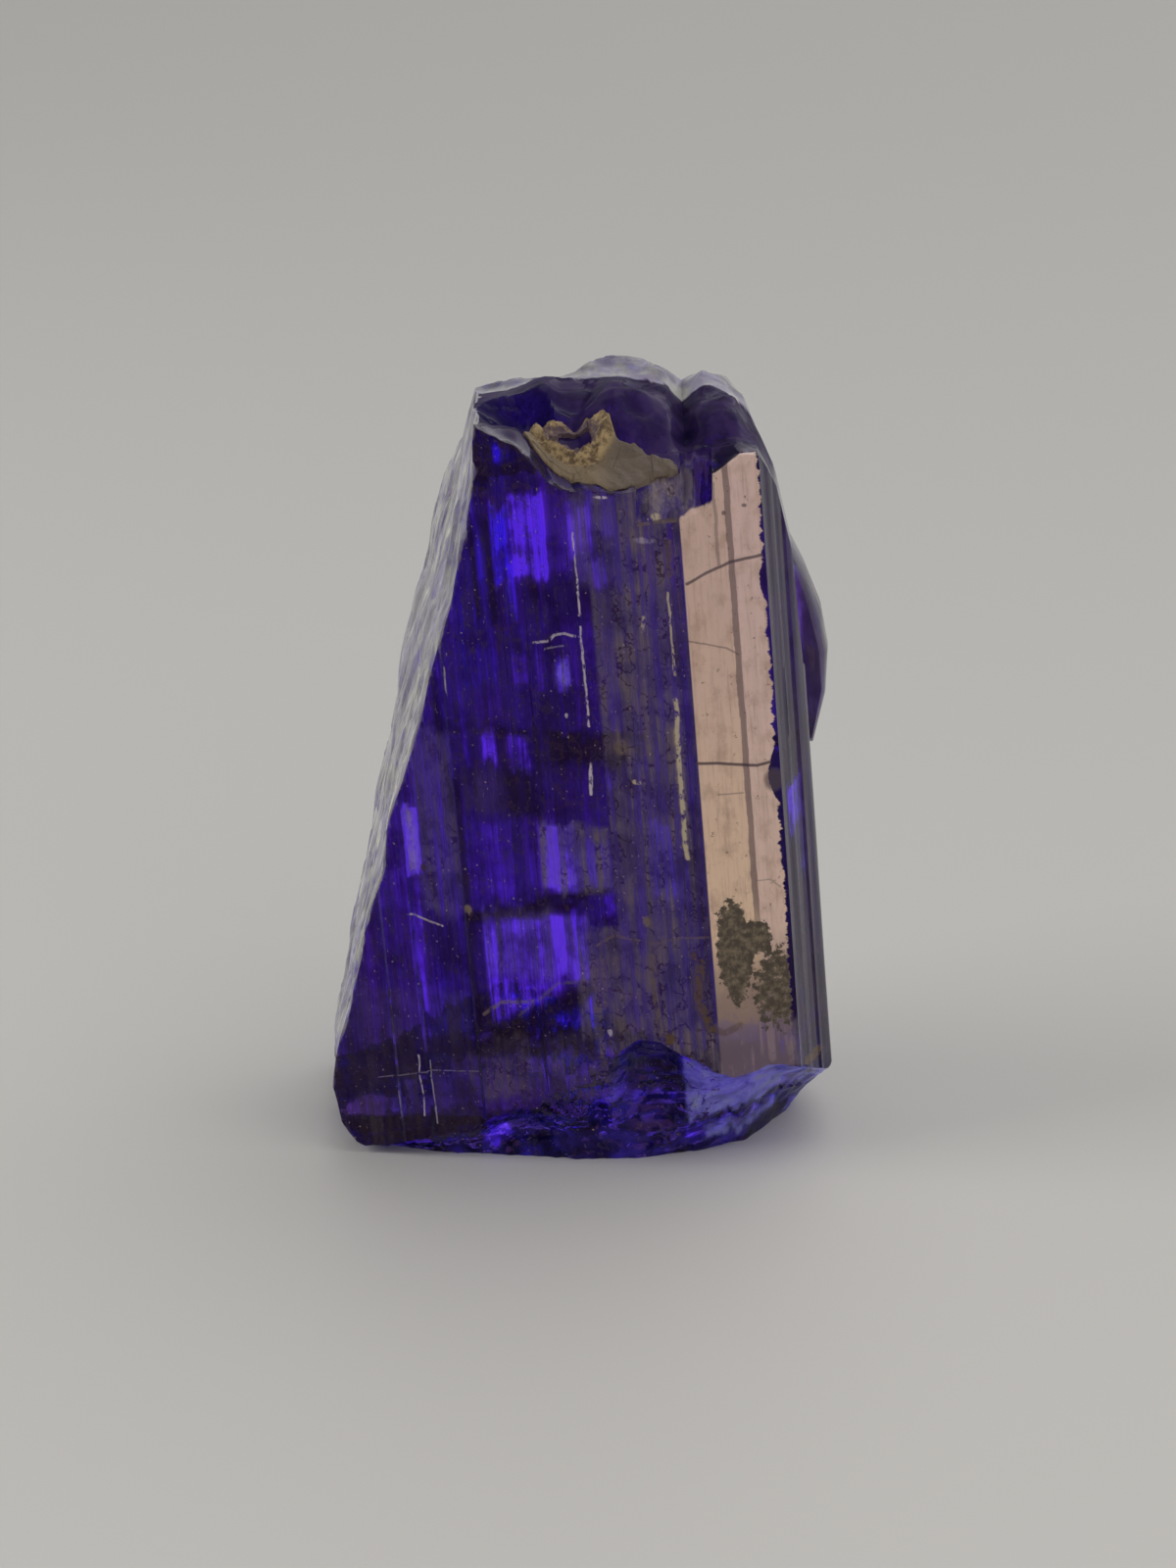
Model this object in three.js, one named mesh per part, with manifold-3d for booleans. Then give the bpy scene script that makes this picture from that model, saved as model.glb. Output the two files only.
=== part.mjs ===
// Rough tanzanite: one leaning, broken zoisite prism with a scrap of ochre matrix on its top.
// Millimetres, +Z up. It stands on the flat spot of its base, and its broad striated face looks to -Y.

import * as THREE from 'three';
import { mergeVertices } from 'three/addons/utils/BufferGeometryUtils.js';
import Module from 'manifold-3d';

const wasm = await Module();
wasm.setup();

// Driving dimensions of the prism
const leanDegrees = 4.7;
const stockFrom = -1;
const stockTo = 36;
const lean = Math.tan(THREE.MathUtils.degToRad(leanDegrees));

// Corners of the prism's section at the height of the flat spot, counter-clockwise from the front left,
// each with the number of striae on the face that starts there and their relief
const corners = [
  { name: 'broad front face', at: [-13.2, -5], striae: 13, relief: 0.17 },
  { name: 'grey stepped band', at: [3.7, -7.1], striae: 4, relief: 0.22 },
  { name: 'pink face', at: [6.25, -7.3], striae: 3, relief: 0.07 },
  { name: 'dark right strip', at: [9.85, -5.9], striae: 3, relief: 0.16 },
  { name: 'right side', at: [11.3, -2.8], striae: 5, relief: 0.2 },
  { name: 'back right face', at: [11.1, 2.4], striae: 5, relief: 0.22 },
  { name: 'back face', at: [7.2, 6.9], striae: 10, relief: 0.24 },
  { name: 'back left face', at: [-4.6, 8.1], striae: 7, relief: 0.22 },
  { name: 'left stock, cut away', at: [-13.2, 5.4], striae: 1, relief: 0 },
];
const riser = 0.14;
const stepJitter = 0.7;

// Room round the stock that every cutter reaches across
const cutFrom = { x: -13, y: -10, z: -1 };
const cutTo = { x: 13, y: 10, z: 37 };
const cutReach = 20;

// Broken top: heights along three lines that run from left to right, and the depth at which each line lies
const lipDepth = -7;
const lipLine = [[-6, 33.4], [-4.7, 33.3], [-3, 32.5], [-1.8, 31], [-0.7, 30.5], [1.7, 30.8], [5.2, 31.4],
  [7.1, 32.1], [8, 30.3], [8.75, 27.2], [9.3, 22]];
const browDepth = -0.5;
const browLine = [[-6, 33], [-4.6, 33.1], [-1.7, 33.7], [0, 33.7], [3.4, 33.6], [4.1, 32.6], [4.8, 33.2],
  [6.3, 33.2], [7.3, 32], [8.05, 30.3], [8.8, 27.2], [9.35, 22]];
const rimDepth = 3;
const rimLine = [[-6, 32.6], [-4.9, 32.8], [-1.7, 33.5], [0, 34.1], [2.2, 34.4], [3.5, 34.1], [4.3, 33.5],
  [5.2, 33.9], [6, 33.7], [6.8, 32.8], [7.7, 30.3], [8.6, 26.5], [9.2, 22]];
const backFall = 0.95;
const topRelief = 0.4;
const topSwells = 0.95;
const topGrid = { from: [-7, -9], to: [11, 10], columns: 34, rows: 28 };

// Swellings and hollows of the broken top: where, how wide each way, and how far they rise or sink
const topForms = [
  { name: 'dark dome', at: [1.7, -2.7], wide: [2.3, 2.7], rise: 0.95 },
  { name: 'blue lump', at: [5.6, -2.3], wide: [1.4, 2.1], rise: 0.75 },
  { name: 'left hollow', at: [-3.1, -2.5], wide: [1.7, 2.1], rise: -0.8 },
  { name: 'small hollow', at: [-0.5, -1.2], wide: [1.2, 1], rise: -0.4 },
  { name: 'back hollow', at: [-1.6, 4.6], wide: [3, 2.4], rise: -0.7 },
];

// Ledges broken out of the top edge of the front: each a wall between two places from left to right,
// which starts at a depth and height on the front and leans back from there
const ledges = [
  { name: 'grey ledge', from: 2, to: 3.95, depth: -7.1, height: 29.5, leanBack: 30 },
  { name: 'dark notch', from: 3.85, to: 5.2, depth: -7.2, height: 29.55, leanBack: 47 },
];

// Left side: a cleft face across the striae, bowed in its upper part and rounded under at its foot
const leftFrontLine = [[-1, -9], [0, -9.3], [0.5, -10.3], [1.4, -10.95], [3, -11.3], [5.4, -10.95],
  [8.6, -10.15], [12.3, -9.25], [16.8, -8.3], [22.1, -6.8], [25.6, -5.85], [30, -5.2], [33.7, -4.7],
  [37, -4.4]];
const leftFrontDepth = -5.6;
const leftBackLine = [[-1, -10.5], [0, -10.9], [1, -11.8], [3.7, -11.6], [7.1, -10.9], [11, -10.1],
  [15.3, -9.2], [19, -8.45], [22.7, -7.6], [27.3, -6.45], [32.6, -5], [37, -3.8]];
const leftBackDepth = 4;
const etchRelief = 0.34;
const etchSwells = { across: 0.8, up: 0.45 };

// Foot: the line where the prism faces stop, and the front edge of the flat spot below it
const footLine = [[-13, 0.15], [-9, 0.45], [-5.6, 1.6], [-1.7, 3.7], [2.1, 6], [3.2, 6.05], [4.2, 5.4],
  [6.4, 4.4], [8.4, 4.65], [10.8, 4.1], [13, 3.4]];
const spotFrontLine = [[-13, -3.4], [-9, -4.2], [-7.4, -4.9], [-1.7, -5.8], [2.2, -5.9], [5.2, -4.9],
  [7.1, -3.8], [9.9, 0.8], [13, 4]];
const footFace = { depth: -7.2, leftTurn: 0.13, rightTurn: 0.32, rightFrom: 6 };
const lipStep = 0.35;
const footCurve = 1.5;
const scoops = [
  { name: 'deep scoop', at: [3, 3.9], wide: [2.1, 2.6], deep: 1.1 },
  { name: 'oval pit', at: [0.5, 2.2], wide: [0.5, 0.9], deep: 0.6 },
  { name: 'glassy scoop', at: [7.6, 2.6], wide: [3, 2.4], deep: 0.7 },
  { name: 'low left scoop', at: [-2.6, 1.2], wide: [2.4, 1.3], deep: 0.5 },
];

// Back of the foot: the same on the hidden side, one long shallow break
const backFootLine = [[-13, 2.2], [-8, 3.4], [-3, 5.6], [1, 4.6], [5, 2.8], [9, 3.6], [13, 4.4]];
const spotBackLine = [[-13, 1.4], [-8, 2.8], [-2, 2.6], [3, 3.8], [8, 2.8], [13, 0.5]];
const backFace = 7.7;
const backFoot = { relief: 0.6, swells: 0.7, curve: 1.4 };

// Right side of the foot, from front to back: where the side stops, and the right edge of the flat spot
const rightFootLine = [[-8, 4.4], [-3, 3.5], [0, 2.5], [3, 3.3], [8, 4.6]];
const spotRightLine = [[-8, 6.6], [-4, 7.2], [-1, 9.3], [2, 9.2], [8, 6]];
const rightFace = 11.1;
const rightFoot = { relief: 0.5, swells: 0.8, curve: 0.8 };

// Side growth that stands out behind the right side: its outline seen from the front, as [x, z] points,
// the depth where its rear side lies, its thickness and the chamfer round both its sides
const sideGrowth = {
  outline: [[5, 16.7], [10.2, 16.9], [10.75, 19.2], [10.85, 21.2], [10.5, 23], [9.75, 24.8], [8.9, 26.4],
    [5, 29]],
  rear: 7.1,
  thickness: 6.2,
  chamfer: 1.5,
};

// Matrix crust on the slope of the broken top: its upper and lower edges, seen from above
const crustGap = 0.3;
const crustFrom = -2.7;
const crustTo = 3.75;
const crustUpper = [[-2.7, -4.7], [-2.4, -3.3], [-1.7, -2.7], [-1, -2.9], [-0.4, -3.1], [0.5, -3.2],
  [0.9, -3.6], [1.2, -4.5], [1.9, -4.9], [2.7, -5.2], [3.3, -5.6], [3.65, -5.9]];
const crustLower = [[-2.7, -4.9], [-2.3, -5.4], [-1.2, -5.9], [-0.6, -6.1], [0, -6.4], [0.8, -6.7],
  [1.5, -6.75], [2.2, -6.45], [3.65, -6.1]];
const crustRing = { at: [-0.7, -3.9], wide: [1.6, 1.15], rise: 0.42, radius: 0.8, width: 0.3 };
const crustThickness = 0.3;
const crustEdge = 0.12;
const crustThinning = 0.12;
const crustRelief = 0.8;

// Value at one place on a line of [place, value] points, straight from point to point
function along(line, place) {
  const last = line.length - 1;
  const next = line.findIndex(([p]) => p > place);
  if (next === 0) return line[0][1];
  if (next < 0) return line[last][1];
  const [p0, v0] = line[next - 1];
  const [p1, v1] = line[next];
  return mix(v0, v1, (place - p0) / (p1 - p0));
}

function mix(from, to, share) {
  return from + (to - from) * share;
}

// Distance from the middle of a form, where 1 is its edge
function reach(a, b, form) {
  return Math.hypot((a - form.at[0]) / form.wide[0], (b - form.at[1]) / form.wide[1]);
}

// Round bump of height 1 at a form's middle and 0 at its edge
function bump(a, b, form) {
  return Math.max(0, 1 - reach(a, b, form) ** 2);
}

// Repeatable number from 0 to 1 for the uneven widths and depths of natural steps
function uneven(seed) {
  const wave = Math.sin(seed * 12.9898) * 43758.5453;
  return wave - Math.floor(wave);
}

// Smooth uneven ground from -0.5 to 0.5, with about one swell for each unit of a and b
function swell(a, b) {
  const [i, j] = [Math.floor(a), Math.floor(b)];
  const [s, t] = [a - i, b - j].map((f) => f * f * (3 - 2 * f));
  const corner = (di, dj) => uneven(i + di + 57 * (j + dj));
  const near = mix(corner(0, 0), corner(1, 0), s);
  const far = mix(corner(0, 1), corner(1, 1), s);
  return mix(near, far, t) - 0.5;
}

function solid(geometry) {
  geometry.deleteAttribute('normal');
  geometry.deleteAttribute('uv');
  const merged = mergeVertices(geometry);
  const vertProperties = new Float32Array(merged.attributes.position.array);
  const triVerts = new Uint32Array(merged.index.array);
  return new wasm.Manifold(new wasm.Mesh({ numProp: 3, vertProperties, triVerts }));
}

function toGeometry(body) {
  const mesh = body.getMesh();
  const geometry = new THREE.BufferGeometry();
  geometry.setAttribute('position', new THREE.BufferAttribute(mesh.vertProperties, 3));
  geometry.setIndex(new THREE.BufferAttribute(mesh.triVerts, 1));
  return geometry;
}

// Block with a grid on its two large faces, bent by place(u, v, w), where u, v and w go from 0 to 1
function bentBlock(columns, rows, place) {
  const block = new THREE.BoxGeometry(1, 1, 1, columns, rows, 1);
  const points = block.attributes.position;
  for (let i = 0; i < points.count; i += 1) {
    const [x, y, z] = place(points.getX(i) + 0.5, points.getY(i) + 0.5, points.getZ(i) + 0.5);
    points.setXYZ(i, x, y, z);
  }
  return solid(block);
}

// One face of the section as a row of striae: flat steps of uneven width, each let in by its own depth
function striatedFace(corner, next, seed) {
  const start = new THREE.Vector2(...corner.at);
  const run = new THREE.Vector2(...next.at).sub(start);
  const inward = new THREE.Vector2(-run.y, run.x).normalize();
  const gap = riser / run.length() / 2;
  const border = (i) => {
    const inner = i > 0 && i < corner.striae;
    return (i + (inner ? stepJitter * (uneven(seed + i) - 0.5) : 0)) / corner.striae;
  };
  const points = [];
  for (let i = 0; i < corner.striae; i += 1) {
    const inset = corner.relief * uneven(seed + 31 * i);
    for (const share of [border(i) + gap, border(i + 1) - gap]) {
      points.push(start.clone().addScaledVector(run, share).addScaledVector(inward, inset));
    }
  }
  return points;
}

function makePrism() {
  const nextCorner = (i) => corners[(i + 1) % corners.length];
  const outline = corners.flatMap((corner, i) => striatedFace(corner, nextCorner(i), 7 * i));
  const stock = new THREE.ExtrudeGeometry(new THREE.Shape(outline), {
    depth: stockTo - stockFrom,
    bevelEnabled: false,
  });
  const points = stock.attributes.position;
  for (let i = 0; i < points.count; i += 1) {
    const z = points.getZ(i) + stockFrom;
    points.setXYZ(i, points.getX(i) - lean * z, points.getY(i), z);
  }
  return solid(stock);
}

function topHeight(x, y) {
  const brow = along(browLine, x);
  const rim = along(rimLine, x);
  let z = rim - backFall * (y - rimDepth);
  if (y < rimDepth) z = mix(brow, rim, (y - browDepth) / (rimDepth - browDepth));
  if (y < browDepth) z = mix(along(lipLine, x), brow, (y - lipDepth) / (browDepth - lipDepth));
  for (const form of topForms) z += form.rise * bump(x, y, form);
  return z + topRelief * swell(topSwells * x, topSwells * y);
}

function makeTopCutter() {
  const { from, to, columns, rows } = topGrid;
  return bentBlock(columns, rows, (u, v, w) => {
    const x = mix(from[0], to[0], u);
    const y = mix(from[1], to[1], v);
    return [x, y, w === 0 ? topHeight(x, y) : cutTo.z];
  });
}

function makeLedgeCutter({ from, to, depth, height, leanBack }) {
  const box = new THREE.BoxGeometry(to - from, cutReach, cutReach);
  box.translate((from + to) / 2, -cutReach / 2, cutReach / 2);
  box.rotateX(-THREE.MathUtils.degToRad(leanBack));
  box.translate(0, depth, height);
  return solid(box);
}

// The cleft face is etched: low uneven ridges run up and down it
function leftFace(y, z) {
  const share = (y - leftFrontDepth) / (leftBackDepth - leftFrontDepth);
  const etching = etchRelief * swell(etchSwells.across * y, etchSwells.up * z);
  return mix(along(leftFrontLine, z), along(leftBackLine, z), share) + etching;
}

function makeLeftCutter() {
  return bentBlock(18, 34, (u, v, w) => {
    const y = mix(cutFrom.y, cutTo.y, u);
    const z = mix(cutFrom.z, cutTo.z, v);
    return [w === 0 ? -cutReach : leftFace(y, z), y, z];
  });
}

// Share of the way out from the edge of the flat spot to the prism's face, at one height of the break
function undercut(z, top, curve) {
  return THREE.MathUtils.clamp(z / top, 0, 1) ** curve;
}

// Depth of the broken surface below the front faces
function footDepth(x, z) {
  const spot = along(spotFrontLine, x);
  const turn = footFace.leftTurn * Math.max(0, -x) + footFace.rightTurn * Math.max(0, x - footFace.rightFrom);
  let y = mix(spot, footFace.depth + turn + lipStep, undercut(z, along(footLine, x), footCurve));
  for (const scoop of scoops) y += scoop.deep * bump(x, z, scoop);
  return y;
}

function makeFootCutter() {
  return bentBlock(9, 40, (u, v, w) => {
    const x = mix(cutFrom.x, cutTo.x, v);
    const z = mix(cutFrom.z, along(footLine, x), u);
    return [x, w === 0 ? -cutReach : footDepth(x, z), z];
  });
}

function makeBackFootCutter() {
  const { relief, swells, curve } = backFoot;
  return bentBlock(6, 26, (u, v, w) => {
    const x = mix(cutFrom.x, cutTo.x, v);
    const top = along(backFootLine, x);
    const z = mix(cutFrom.z, top, u);
    const spot = along(spotBackLine, x) + relief * swell(swells * x, swells * z);
    return [x, w === 0 ? mix(spot, backFace, undercut(z, top, curve)) : cutReach, z];
  });
}

function makeRightFootCutter() {
  const { relief, swells, curve } = rightFoot;
  return bentBlock(16, 6, (u, v, w) => {
    const y = mix(cutFrom.y, cutTo.y, u);
    const top = along(rightFootLine, y);
    const z = mix(cutFrom.z, top, v);
    const spot = along(spotRightLine, y) + relief * swell(swells * y, swells * z);
    return [w === 0 ? mix(spot, rightFace, undercut(z, top, curve)) : cutReach, y, z];
  });
}

function makeSideGrowth() {
  const { outline, rear, thickness, chamfer } = sideGrowth;
  const growth = new THREE.ExtrudeGeometry(new THREE.Shape(outline.map((p) => new THREE.Vector2(...p))), {
    depth: thickness - 2 * chamfer,
    bevelThickness: chamfer,
    bevelSize: 0.8 * chamfer,
    bevelOffset: -0.8 * chamfer,
    bevelSegments: 2,
  });
  growth.rotateX(Math.PI / 2);
  growth.translate(0, rear - chamfer, 0);
  return solid(growth);
}

function makeGround() {
  const ground = new THREE.BoxGeometry(3 * cutReach, 3 * cutReach, cutReach);
  ground.translate(0, 0, -cutReach / 2);
  return solid(ground);
}

function cutAll(body, cutters) {
  return cutters.reduce((rest, cutter) => rest.subtract(cutter), body);
}

function makeCrystal() {
  const prism = cutAll(makePrism(), [makeTopCutter(), makeLeftCutter(), ...ledges.map(makeLedgeCutter)]);
  const feet = [makeFootCutter(), makeBackFootCutter(), makeRightFootCutter(), makeGround()];
  return toGeometry(cutAll(prism.add(makeSideGrowth()), feet));
}

// The crust is thin, with a thick ragged ring round a hollow on its left and a tongue that thins to the right
function crustHeight(x, y, across) {
  const edge = Math.sqrt(Math.max(0, 1 - (2 * across - 1) ** 2));
  const offRing = (reach(x, y, crustRing) - crustRing.radius) / crustRing.width;
  const ring = crustRing.rise * Math.exp(-(offRing ** 2));
  const ragged = 1 + crustRelief * swell(2 * x, 2 * y);
  return crustEdge + edge * (crustThickness + ring * ragged) * (1 - crustThinning * (x - crustFrom));
}

function makeCrust() {
  const body = bentBlock(24, 10, (u, v, w) => {
    const x = mix(crustFrom, crustTo, u);
    const y = mix(along(crustLower, x), along(crustUpper, x), v);
    return [x, y, topHeight(x, y) + crustGap + (w === 0 ? 0 : crustHeight(x, y, v))];
  });
  return toGeometry(body);
}

function piece(name, geometry, color, roughness) {
  const material = new THREE.MeshStandardMaterial({ color, roughness, metalness: 0 });
  const mesh = new THREE.Mesh(geometry, material);
  mesh.name = name;
  return mesh;
}

const group = new THREE.Group();
group.add(piece('crystal', makeCrystal(), 0x4f3d8a, 0.08));
group.add(piece('matrix_crust', makeCrust(), 0x7c6e5c, 0.8));

// The origin is under the middle of the crystal's box, on the surface that it stands on
const box = new THREE.Box3().setFromObject(group);
const middle = box.getCenter(new THREE.Vector3());
group.position.set(-middle.x, -middle.y, -box.min.z);

export default group;
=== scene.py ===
# %% [markdown]
# # A rough tanzanite
# One broken prism of tanzanite leans a little as it stands on the flat spot of its base. A measured solid
# of it comes with this notebook as a fixed frame: it gives the size and the place of every form. The cells
# below build the same crystal again with far finer relief, and give it its see-through violet with painted
# light and shade, its painted satin pink reflection, its stains and its ochre crust.

# %% Load the measured frame
import math

import bpy
import numpy as np
from mathutils import Matrix, Vector


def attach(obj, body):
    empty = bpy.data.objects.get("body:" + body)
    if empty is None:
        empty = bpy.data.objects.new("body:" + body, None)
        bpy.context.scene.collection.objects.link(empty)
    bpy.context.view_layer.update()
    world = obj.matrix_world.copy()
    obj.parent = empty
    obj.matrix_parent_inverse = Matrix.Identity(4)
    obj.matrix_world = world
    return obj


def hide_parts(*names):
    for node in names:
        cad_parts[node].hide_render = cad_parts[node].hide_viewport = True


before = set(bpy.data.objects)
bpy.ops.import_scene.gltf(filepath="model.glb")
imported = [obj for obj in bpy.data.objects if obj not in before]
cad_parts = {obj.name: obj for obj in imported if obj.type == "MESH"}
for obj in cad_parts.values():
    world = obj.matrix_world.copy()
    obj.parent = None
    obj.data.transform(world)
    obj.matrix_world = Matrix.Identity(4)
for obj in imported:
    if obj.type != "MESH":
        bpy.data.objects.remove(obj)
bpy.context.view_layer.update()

# %% [markdown]
# ## Tools for natural shapes
# Stone has no straight machine edges, so every form below starts from a short line of measured points and
# gets uneven ground on top. `uneven` turns a number into a repeatable one that looks random, `swell` joins
# such numbers into soft hills, and `chips` makes the small tilted flats that a hackly break shows. All of
# them work on whole arrays at once, which keeps a fine mesh quick to make. Lengths are in millimetres until
# the end.

# %% Lines, hills and chips
MM = 0.001
WAVE_TURNS, WAVE_SIZE = 12.9898, 43758.5453
ROW_SEED = 57
OCTAVE_SHIFT = (7.3, -3.1)


def mix(start, end, share):
    return start + (end - start) * share


def along(line, place):
    """The height of a line of measured points at a place along it."""
    places, values = zip(*line)
    return np.interp(place, places, values)


def uneven(seed):
    """A number from 0 to 1 that looks random, and is the same whenever the seed is."""
    wave = np.sin(np.asarray(seed, float) * WAVE_TURNS) * WAVE_SIZE
    return wave - np.floor(wave)


def swell(a, b):
    """Smooth ground through one uneven height at each whole a and b, from -0.5 to 0.5."""
    i, j = np.floor(a), np.floor(b)
    s, t = ((f * f * (3 - 2 * f)) for f in (a - i, b - j))
    near = mix(uneven(i + ROW_SEED * j), uneven(i + 1 + ROW_SEED * j), s)
    far = mix(uneven(i + ROW_SEED * (j + 1)), uneven(i + 1 + ROW_SEED * (j + 1)), s)
    return mix(near, far, t) - 0.5


def hills(a, b, octaves=4):
    """Swells on swells, each half as wide and half as high, from -0.5 to 0.5 or so."""
    total = 0
    for k in range(octaves):
        total = total + swell(a * 2**k + OCTAVE_SHIFT[0] * k, b * 2**k + OCTAVE_SHIFT[1] * k) / 2**k
    return total / 1.5


def chips(a, b, seed=0.0):
    """Small flats, one about every unit, each tilted its own way, with a step between neighbours."""
    cell_a, cell_b = np.floor(a), np.floor(b)
    nearest = np.full(np.shape(a), 9.0)
    height = np.zeros(np.shape(a))
    for da in (-1, 0, 1):
        for db in (-1, 0, 1):
            key = (cell_a + da) * 7.1 + (cell_b + db) * 31.7 + seed
            off_a = a - (cell_a + da + uneven(key))
            off_b = b - (cell_b + db + uneven(key + 0.37))
            distance = off_a**2 + off_b**2
            tilt_a, tilt_b = uneven(key + 1.7) - 0.5, uneven(key + 2.9) - 0.5
            flat = tilt_a * off_a + tilt_b * off_b + 0.5 * (uneven(key + 4.1) - 0.5)
            height = np.where(distance < nearest, flat, height)
            nearest = np.minimum(nearest, distance)
    return height


def reach(a, b, at, wide):
    """How far a point is from the middle of an oval, with 1 on the oval."""
    return np.hypot((a - at[0]) / wide[0], (b - at[1]) / wide[1])


def bump(a, b, at, wide):
    """A round rise: 1 in the middle of an oval and 0 outside it."""
    return np.maximum(0, 1 - reach(a, b, at, wide) ** 2)


print("chips reach", round(float(chips(np.linspace(0, 50, 999), np.linspace(9, 3, 999)).max()), 2))

# %% [markdown]
# ## Meshes and cuts
# A block whose two large faces are fine grids can be bent into any surface, and it stays closed, so it
# makes a safe cutter. Blender's Manifold boolean takes such closed meshes apart in well under a second, and
# keeps the meeting edges as sharp as a break in crystal is. The prism and its side growth are stacks of
# rings with two end caps.

# %% Helpers for closed meshes
def mesh_object(name, points, faces):
    mesh = bpy.data.meshes.new(name)
    mesh.from_pydata((np.reshape(points, (-1, 3)) * MM).tolist(), [], faces)
    mesh.update()
    thing = bpy.data.objects.new(name, mesh)
    bpy.context.scene.collection.objects.link(thing)
    return thing


def grid_faces(rows, columns, start=0, flip=False):
    """Quads of a grid whose points are numbered row by row."""
    r, c = np.meshgrid(np.arange(rows), np.arange(columns), indexing="ij")
    first = start + r * (columns + 1) + c
    quads = np.stack([first, first + 1, first + columns + 2, first + columns + 1], -1).reshape(-1, 4)
    return (quads[:, ::-1] if flip else quads).tolist()


def bent_block(name, columns, rows, place):
    """A closed block: place(u, v, w) puts its points, and w is 0 on one large face and 1 on the other."""
    v, u = np.meshgrid(np.linspace(0, 1, rows + 1), np.linspace(0, 1, columns + 1), indexing="ij")
    points = np.stack([np.stack(np.broadcast_arrays(*place(u, v, w)), -1) for w in (0, 1)])
    far = (rows + 1) * (columns + 1)
    faces = grid_faces(rows, columns, flip=True) + grid_faces(rows, columns, start=far)
    border = [(0, c) for c in range(columns)]
    border += [(r, columns) for r in range(rows)]
    border += [(rows, c) for c in range(columns, 0, -1)]
    border += [(r, 0) for r in range(rows, 0, -1)]
    ring = [r * (columns + 1) + c for r, c in border]
    for here, after in zip(ring, ring[1:] + ring[:1]):
        faces.append([here, after, far + after, far + here])
    return mesh_object(name, points, faces)


def stacked_rings(name, rings, flip=False):
    """A closed body of rings of points with a cap at each end. Flip when the rings run downwards."""
    rows, count = rings.shape[:2]
    faces = []
    for low in range(0, (rows - 1) * count, count):
        for here in range(count):
            after = (here + 1) % count
            wall = [low + here, low + after, low + count + after, low + count + here]
            faces.append([wall[0], *wall[:0:-1]] if flip else wall)
    caps = [list(range(count))[::-1], [(rows - 1) * count + i for i in range(count)]]
    faces += [cap[::-1] for cap in caps] if flip else caps
    return mesh_object(name, rings, faces)


def cut(body, cutter, operation="DIFFERENCE"):
    """Takes the cutter away from the body, or joins the two with UNION."""
    knife = body.modifiers.new(cutter.name, "BOOLEAN")
    knife.operation = operation
    knife.solver = "MANIFOLD"
    knife.object = cutter
    made = bpy.data.meshes.new_from_object(body.evaluated_get(bpy.context.evaluated_depsgraph_get()))
    body.modifiers.clear()
    body.data = made
    bpy.data.objects.remove(cutter)


print("faces on a grid of 2 by 3:", len(grid_faces(2, 3)))

# %% [markdown]
# ## The striated prism
# Tanzanite grows as a prism whose faces are striated: long flat steps run up it, parallel to its length.
# The section is one ring of points, and the prism is that ring repeated up a leaning line. The wide steps
# are those of the measured solid. Between them lie hair-fine ones, which fade in and out on the way up as
# real ones do. Extruding a flat section would be the quick way, but then every line would run on unbroken.

# %% Prism with its striae
LEAN = math.tan(math.radians(4.7))
RISER = 0.14
STEP_JITTER = 0.7
CORNERS = [
    ("broad front face", (-13.2, -5), 13, 0.17),
    ("grey stepped band", (3.7, -7.1), 4, 0.22),
    ("pink face", (6.25, -7.3), 3, 0.07),
    ("dark right strip", (9.85, -5.9), 3, 0.16),
    ("right side", (11.3, -2.8), 5, 0.2),
    ("back right face", (11.1, 2.4), 5, 0.22),
    ("back face", (7.2, 6.9), 10, 0.24),
    ("back left face", (-4.6, 8.1), 7, 0.22),
    ("left stock, cut away", (-13.2, 5.4), 1, 0),
]
STOCK_FROM, STOCK_TO, STOCK_ROWS = -1, 37, 150
HAIR_STEP = 0.13
FINE_STRIAE = ((0.42, 11, 0.05), (0.17, 7, 0.03))


def striated_face(number):
    """Places round the section on one face, each with its way in and how far its step is let in."""
    _, start, striae, relief = CORNERS[number]
    start, end = np.array(start, float), np.array(CORNERS[(number + 1) % len(CORNERS)][1], float)
    run = end - start
    length = np.hypot(*run)
    inward = np.array([-run[1], run[0]]) / length
    seed, gap = 7 * number, RISER / length / 2
    edges = [0.0] + [i + STEP_JITTER * (float(uneven(seed + i)) - 0.5) for i in range(1, striae)] + [striae]
    rows = []
    for i in range(striae):
        low, high = edges[i] / striae + gap, edges[i + 1] / striae - gap
        inset = relief * float(uneven(seed + 31 * i))
        for share in np.linspace(low, high, max(2, round((high - low) * length / HAIR_STEP))):
            rows.append([*(start + run * share), *inward, inset])
    return rows


def make_prism():
    """The leaning prism, longer at both ends than the crystal, with every stria."""
    ring = np.array([row for number in range(len(CORNERS)) for row in striated_face(number)])
    z = np.linspace(STOCK_FROM, STOCK_TO, STOCK_ROWS + 1)[:, None]
    walked = np.cumsum(np.hypot(*np.diff(ring[:, :2], axis=0, prepend=ring[-1:, :2]).T))[None, :]
    inset = ring[None, :, 4] + sum(deep * swell(walked / wide, z / tall) for wide, tall, deep in FINE_STRIAE)
    x = ring[:, 0] + ring[:, 2] * inset - LEAN * z
    y = ring[:, 1] + ring[:, 3] * inset
    return stacked_rings("crystal_body", np.stack([x, y, np.broadcast_to(z, x.shape)], -1))


crystal = make_prism()
print("prism:", len(crystal.data.polygons), "faces")

# %% [markdown]
# ## The broken top
# The crystal snapped off near its top. Its break is nearly level along the back rim and slopes down to the
# front, with a dark dome, a blue lump, three hollows and a valley between them. Three measured lines from
# left to right give its lie, and hills, chips and the faint ribs of a shell-like break roughen it. A
# sculpted mesh would do as well, but three lines can be measured and changed one point at a time.

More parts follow.
